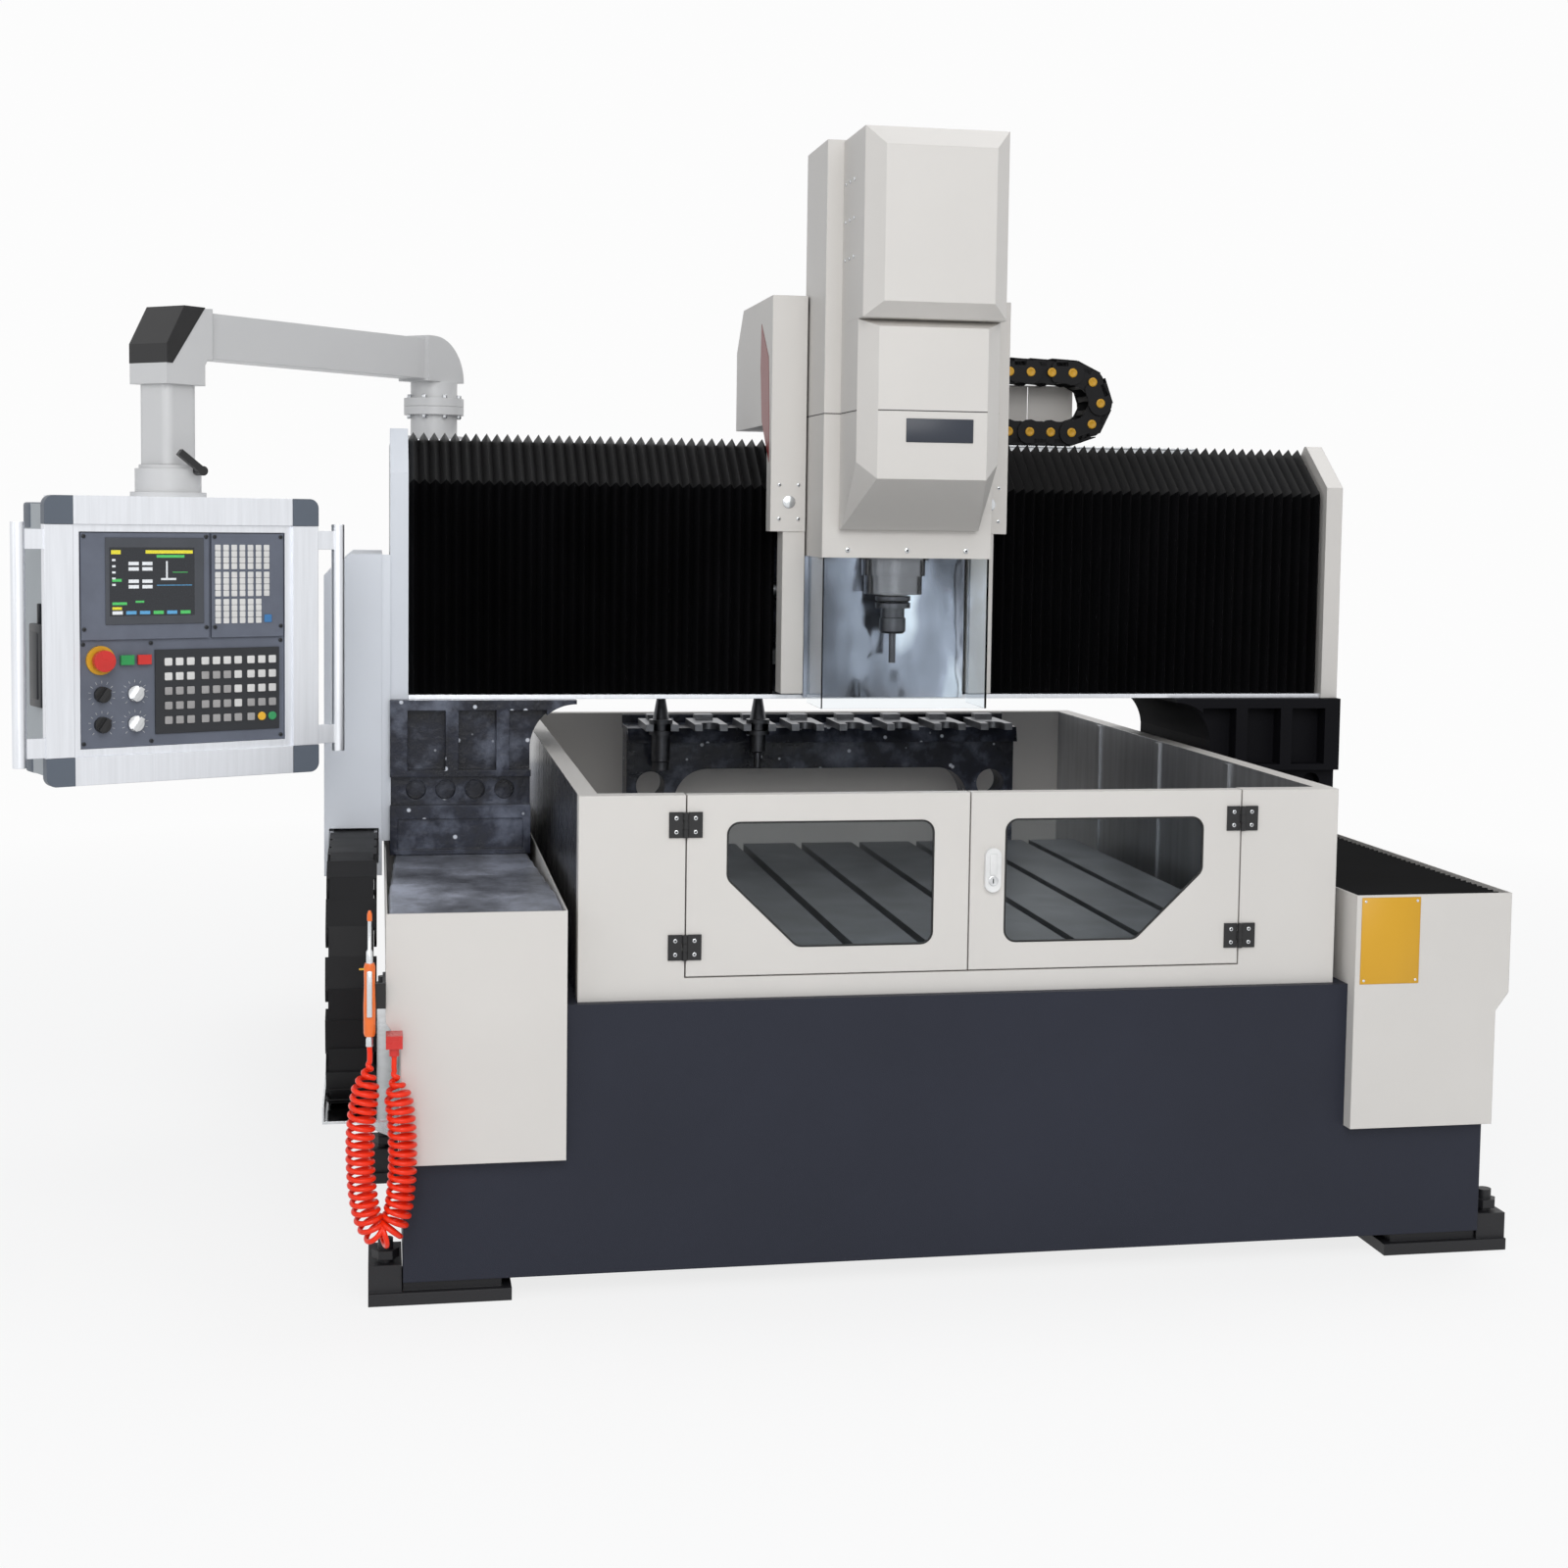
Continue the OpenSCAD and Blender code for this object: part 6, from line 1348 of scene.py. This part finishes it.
class MACHINE_OT_pendant_fittings(bpy.types.Operator):
    """Display, keys, scales and screws of the operator panel"""

    bl_idname = "machine.pendant_fittings"
    bl_label = "Pendant Fittings"

    def execute(self, context):
        place = pendant_place()
        turn = place.to_3x3()
        out = turn @ Vector((0, -1, 0))
        level = turn @ Vector((1, 0, 0))
        bezel = PANEL_FACE - 0.008
        field = PANEL_FACE - 0.004

        def spots(places, y):
            return [place @ Vector((x, y, z)) for x, z in places]

        screen = display("panel_display", place, (-0.161, 0.0185), (1.3515, 1.4915), bezel)
        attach(screen, "pendant")
        self.machine_keys(spots, field, out, level, context.scene.machine_fasteners.key)
        pads = []
        for top, count_z, count_x in ((1.4915, 4, 7), (1.4345, 4, 7), (1.3775, 4, 6)):
            pads += [(0.0705 + 0.0180 * i, top - 0.0131 * j) for i in range(count_x) for j in range(count_z)]
        fittings("letter_pads", "pendant", "key_cap", spots(pads, bezel), out, 0.0122, 0.002,
                 "key_white", level)
        fittings("shift_pad", "pendant", "key_cap", spots([(0.1815, 1.3415)], bezel), out, 0.0165, 0.002,
                 "key_blue", level)
        ticks, aims, ring = [], [], 0.0255
        for x, z in KNOBS:
            for k in range(11):
                a = math.radians(-135 + 27 * k)
                ticks.append((x + ring * math.sin(a), z + ring * math.cos(a)))
                aims.append(turn @ Vector((math.sin(a), 0, math.cos(a))))
        fittings("knob_scales", "pendant", "tick", spots(ticks, PANEL_FACE), out, 0.0055, 0.0004,
                 "key_white", aims)
        low_screws = [(x, z) for x in (-0.213, -0.072, 0.213) for z in (PANEL_LOW + 0.010, PLATE_LOW - 0.009)]
        plate_screws = [(x, z) for x in (-0.213, 0.045, 0.0635, 0.2105)
                        for z in (PLATE_LOW + 0.022, PLATE_TOP - 0.007)]
        screws = spots(low_screws, PANEL_FACE) + spots(plate_screws, bezel)
        fittings("panel_screws", "pendant", "cap_screw", screws, out, 0.0085, 0.003, "dark_plastic")
        for name, made in (("case_corners", case_corners), ("socket_box", socket_box)):
            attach(made(name, place), "pendant")
        return {"FINISHED"}

    def machine_keys(self, spots, field, out, level, width):
        """Five rows of square keys in two greys, with two round coloured ones at the end of the last row."""
        columns = [-0.0365, -0.0126, 0.0115, 0.0431, 0.0675, 0.0914, 0.1154, 0.1440, 0.1683, 0.1920]
        rows = [1.2546, 1.2242, 1.1938, 1.1634, 1.1330]
        grey = {(r, c) for r in (2, 3, 4) for c in range(10)} | {(1, 3), (1, 4), (1, 5)}
        grey -= {(2, 6), (3, 6), (2, 7), (2, 8), (2, 9)}
        special = {(4, 8): "key_yellow", (4, 9): "key_green"}
        groups = {"key_white": [], "key_grey": []}
        for r, z in enumerate(rows):
            for c, x in enumerate(columns):
                if (r, c) in special:
                    fittings("machine_key_%d" % c, "pendant", "round_key", spots([(x, z)], field), out, 0.018,
                             0.004, special[(r, c)])
                else:
                    groups["key_grey" if (r, c) in grey else "key_white"].append((x, z))
        for finish, places in groups.items():
            fittings("machine_" + finish, "pendant", "key_cap", spots(places, field), out, width, 0.0035,
                     finish, level)


def case_corners(name, place):
    """Dark corner pieces at the back of the pendant's case."""
    bm = bmesh.new()
    low, high, lap, arm, front, back = 1.025, 1.579, 0.002, 0.052, 0.035, 0.082
    for z, up in ((low, 1), (high, -1)):
        for x, right in ((-CASE_HALF, 1), (CASE_HALF, -1)):
            xs = sorted((x - lap * right, x + arm * right))
            zs = sorted((z - lap * up, z + arm * up))
            rounded_box(bm, (xs[0], front, zs[0]), (xs[1], back, zs[1]), 0.006, 0, place, 3)
    return from_bmesh(name, bm, ["case_paint"], 40)


def socket_box(name, place):
    """Slim dark box for sockets on the left side of the pendant's case."""
    bm = bmesh.new()
    side = -CASE_HALF
    rounded_box(bm, (side - 0.014, -0.058, 1.165), (side, 0.014, 1.335), 0.004, 0, place)
    rounded_box(bm, (side - 0.017, -0.044, 1.182), (side - 0.013, 0.002, 1.318), 0.0015, 0, place)
    rounded_box(bm, (side - 0.008, -0.028, 1.334), (side, -0.020, 1.376), 0.002, 0, place)
    return from_bmesh(name, bm, ["dark_plastic"], 40)


def display(name, place, x, z, face):
    """Lit screen in a dark rim, with plain fields and bars and no words."""
    white, yellow, green, blue = 2, 3, 4, 5
    bars = [(0.02, 0.13, 0.90, 0.96, yellow), (0.42, 0.98, 0.91, 0.96, yellow),
            (0.55, 0.88, 0.85, 0.89, green)]
    bars += [(0.03, 0.07, 0.80 - 0.09 * k, 0.83 - 0.09 * k, white) for k in range(5)]
    bars += [(u, u + 0.12, v, v + 0.05, white) for u in (0.22, 0.38) for v in (0.66, 0.74, 0.40, 0.48)]
    bars += [(0.03, 0.14, 0.50, 0.54, green), (0.55, 0.97, 0.44, 0.45, blue),
             (0.66, 0.68, 0.55, 0.80, white), (0.74, 0.92, 0.63, 0.64, green),
             (0.60, 0.78, 0.52, 0.55, white), (0.03, 0.20, 0.16, 0.20, green),
             (0.30, 0.40, 0.19, 0.22, green)]
    bars += [(0.03 + 0.16 * k, 0.15 + 0.16 * k, 0.02, 0.07, tone)
             for k, tone in enumerate((white, blue, blue, green, blue, green))]
    bars += [(0.03, 0.14, 0.09, 0.13, yellow)]
    bm = bmesh.new()
    rim_low, rim_high = (x[0] - 0.008, face - 0.003, z[0] - 0.018), (x[1] + 0.021, face, z[1] + 0.020)
    rounded_box(bm, rim_low, rim_high, 0.0012, 0, place)
    back, glass, bar = face - 0.0032, 0.0004, 0.0002
    front = back - glass
    rounded_box(bm, (x[0], front, z[0]), (x[1], back, z[1]), 0.0002, 1, place, 1)
    width, height = x[1] - x[0], z[1] - z[0]
    for u0, u1, v0, v1, tone in bars:
        rounded_box(bm, (x[0] + u0 * width, front - bar, z[0] + v0 * height),
                    (x[0] + u1 * width, front, z[0] + v1 * height), 0.0002, tone, place, 1)
    return from_bmesh(name, bm, ["screen_rim", "screen_dark", "screen_white", "screen_yellow", "screen_green",
                                 "screen_blue"])


class MACHINE_OT_small_plates(bpy.types.Operator):
    """Bare yellow plate on the right end box, strip of the column cover and bolts of the arm's flange"""

    bl_idname = "machine.small_plates"
    bl_label = "Plates and Bolts"

    def execute(self, context):
        sizes = context.scene.machine_fasteners
        low, high = Vector((0.842, BOX_FRONT - 0.0012, 0.602)), Vector((0.975, BOX_FRONT, 0.787))
        inset = 0.008
        bm = bmesh.new()
        rounded_box(bm, low, high, 0.0006)
        plate = from_bmesh("sign_plate", bm, ["caution_yellow"], 40)
        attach(plate, "bed")
        corners = [Vector((x, low.y, z)) for x in (low.x + inset, high.x - inset)
                   for z in (low.z + inset, high.z - inset)]
        fittings("sign_rivets", "bed", "round_key", corners, Vector((0, -1, 0)), 0.006, 0.0015,
                 "bright_steel")
        bm = bmesh.new()
        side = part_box("left_column")[0].x
        rounded_box(bm, (side - 0.020, -0.4598, 0.806), (side + 0.002, -0.4568, 1.472), 0.0008)
        # The strip takes the left cover's pale coat, which is partly painted light
        strip = from_bmesh("cover_closing_strip", bm, ["pale_paint"], 40)
        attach(strip, "gantry")
        low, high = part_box("arm_post")
        centre = (low + high) / 2
        thick, reach = 0.020, 0.064
        angles = [math.radians(22.5 + 45 * k) for k in range(8)]
        for name, body, z, up in (("low", "gantry", high.z - thick, -1),
                                  ("high", "arm", high.z + SEAT + thick, 1)):
            ring = [Vector((centre.x + reach * math.cos(a), centre.y + reach * math.sin(a), z))
                    for a in angles]
            fittings("flange_bolts_" + name, body, "hex_bolt", ring, Vector((0, 0, up)), sizes.flange, 0.008,
                     "bright_steel")
        return {"FINISHED"}


class MACHINE_OT_stage(bpy.types.Operator):
    """Floor, soft light and the camera"""

    bl_idname = "machine.stage"
    bl_label = "Stage"

    def execute(self, context):
        scene = context.scene
        settings = scene.machine_stage
        scene.view_settings.view_transform = "Standard"
        self.floor(settings)
        self.world(scene)
        self.lamp(scene, "key_light", (-0.8, -7.2, 4.2), (0.0, -0.6, 1.1), 5.0, settings.key_power)
        self.lamp(scene, "fill_light", (-6.0, -4.0, 3.4), (-0.4, -0.4, 1.0), 4.0, settings.fill_power)
        self.lamp(scene, "top_light", (2.2, 0.8, 6.6), (0.3, -0.3, 0.8), 3.4, settings.top_power)
        self.camera(scene, settings.lens)
        return {"FINISHED"}

    def floor(self, settings):
        """Pale floor that goes over to plain white away from the machine and keeps its shadow."""
        tree, principled = shader("studio_floor", {"Roughness": 0.9, "Specular IOR Level": 0.0})
        broad = pattern(tree, 0.6, detail=2)
        tone = ramp(tree, broad.outputs["Fac"], tones(settings.floor, (0.3, 0.995), (0.7, 1.0)))
        tree.links.new(tone, principled.inputs["Base Color"])
        white = node(tree, "ShaderNodeEmission", {"Color": WHITE})
        coords = node(tree, "ShaderNodeTexCoord")
        away = node(tree, "ShaderNodeVectorMath", operation="LENGTH")
        tree.links.new(coords.outputs["Object"], away.inputs[0])
        whiter = node(tree, "ShaderNodeMapRange", {"From Min": 1.5, "From Max": 6.0,
                                                   "To Min": settings.white_share, "To Max": 1.0})
        tree.links.new(away.outputs["Value"], whiter.inputs["Value"])
        share = node(tree, "ShaderNodeMath", operation="MULTIPLY")
        tree.links.new(self.seen(tree), share.inputs[0])
        tree.links.new(whiter.outputs["Result"], share.inputs[1])
        self.mix(tree, share.outputs[0], principled, white, "Material Output")
        bm = bmesh.new()
        bmesh.ops.create_grid(bm, x_segments=2, y_segments=2, size=40)
        mesh = bpy.data.meshes.new("studio_floor")
        bm.to_mesh(mesh)
        bm.free()
        put("studio_floor", mesh, ["studio_floor"])

    def world(self, scene):
        """Dim sky for light, plain white where it is seen."""
        world = bpy.data.worlds.new("studio_world")
        scene.world = world
        world.use_nodes = True
        tree = world.node_tree
        light = tree.nodes["Background"]
        light.inputs["Color"].default_value = (0.92, 0.95, 1.0, 1)
        light.inputs["Strength"].default_value = 0.45
        white = node(tree, "ShaderNodeBackground", {"Color": WHITE, "Strength": 1.0})
        self.mix(tree, self.seen(tree), light, white, "World Output")

    def mix(self, tree, share, first, second, output):
        """The first shader, and by that share the second one."""
        mix = node(tree, "ShaderNodeMixShader")
        tree.links.new(share, mix.inputs["Fac"])
        tree.links.new(first.outputs[0], mix.inputs[1])
        tree.links.new(second.outputs[0], mix.inputs[2])
        tree.links.new(mix.outputs[0], tree.nodes[output].inputs["Surface"])

    def seen(self, tree):
        """1 for rays that show the background: from the camera, off gloss and through clear sheets."""
        path = node(tree, "ShaderNodeLightPath")
        out = path.outputs["Is Camera Ray"]
        for label in ("Is Glossy Ray", "Is Transmission Ray"):
            larger = node(tree, "ShaderNodeMath", operation="MAXIMUM")
            tree.links.new(out, larger.inputs[0])
            tree.links.new(path.outputs[label], larger.inputs[1])
            out = larger.outputs[0]
        return out

    def lamp(self, scene, name, place, target, size, power):
        """Round soft light that points at a target."""
        light = bpy.data.lights.new(name, "AREA")
        light.shape = "DISK"
        light.size = size
        light.energy = power
        obj = bpy.data.objects.new(name, light)
        obj.location = place
        obj.rotation_mode = "QUATERNION"
        obj.rotation_quaternion = (Vector(target) - Vector(place)).to_track_quat("-Z", "Y")
        scene.collection.objects.link(obj)

    def camera(self, scene, lens):
        """Camera at the photograph's place and angle, with the lens moved down instead of tilted."""
        yaw, pitch, roll = 0.1827, -0.0706, 0.0136
        ahead = Vector((math.sin(yaw) * math.cos(pitch), math.cos(yaw) * math.cos(pitch), math.sin(pitch)))
        right = Vector((math.cos(yaw), -math.sin(yaw), 0))
        up = right.cross(ahead)
        across = right * math.cos(roll) + up * math.sin(roll)
        upward = up * math.cos(roll) - right * math.sin(roll)
        data = bpy.data.cameras.new("photo_camera")
        data.sensor_width = 36
        data.lens = lens
        data.shift_y = -0.0717
        data.clip_end = 200
        camera = bpy.data.objects.new("photo_camera", data)
        place = Matrix((across, upward, -ahead)).transposed().to_4x4()
        place.translation = Vector((-1.199, -5.634, 1.574))
        camera.matrix_world = place
        scene.collection.objects.link(camera)
        scene.camera = camera


OPERATORS = [MACHINE_OT_stage, MACHINE_OT_finishes, MACHINE_OT_air_line, MACHINE_OT_beam_bellows,
             MACHINE_OT_rail_bellows, MACHINE_OT_steel_plates, MACHINE_OT_cable_chains,
             MACHINE_OT_door_fittings, MACHINE_OT_head_fittings, MACHINE_OT_pendant_fittings,
             MACHINE_OT_small_plates]


class MACHINE_PT_dressing(bpy.types.Panel):
    """Lists the operators in the sidebar of the 3D view"""

    bl_idname = "MACHINE_PT_dressing"
    bl_label = "Machining Center"
    bl_space_type = "VIEW_3D"
    bl_region_type = "UI"
    bl_category = "Machining Center"

    def draw(self, context):
        for operator in OPERATORS:
            self.layout.operator(operator.bl_idname)


def register():
    """Registers the sizes, the operators and the panel."""
    for group in GROUPS.values():
        bpy.utils.register_class(group)
    for name, group in GROUPS.items():
        setattr(bpy.types.Scene, name, PointerProperty(type=group))
    for operator in OPERATORS:
        bpy.utils.register_class(operator)
    bpy.utils.register_class(MACHINE_PT_dressing)


def unregister():
    """Takes back what register has registered."""
    bpy.utils.unregister_class(MACHINE_PT_dressing)
    for operator in reversed(OPERATORS):
        bpy.utils.unregister_class(operator)
    for name, group in GROUPS.items():
        delattr(bpy.types.Scene, name)
        bpy.utils.unregister_class(group)


def main():
    """Builds every piece in order."""
    register()
    for operator in OPERATORS:
        getattr(bpy.ops.machine, operator.bl_idname.split(".")[1])()
    for shape in SHAPES.values():
        bpy.data.objects.remove(shape)


if __name__ == "__main__":
    main()
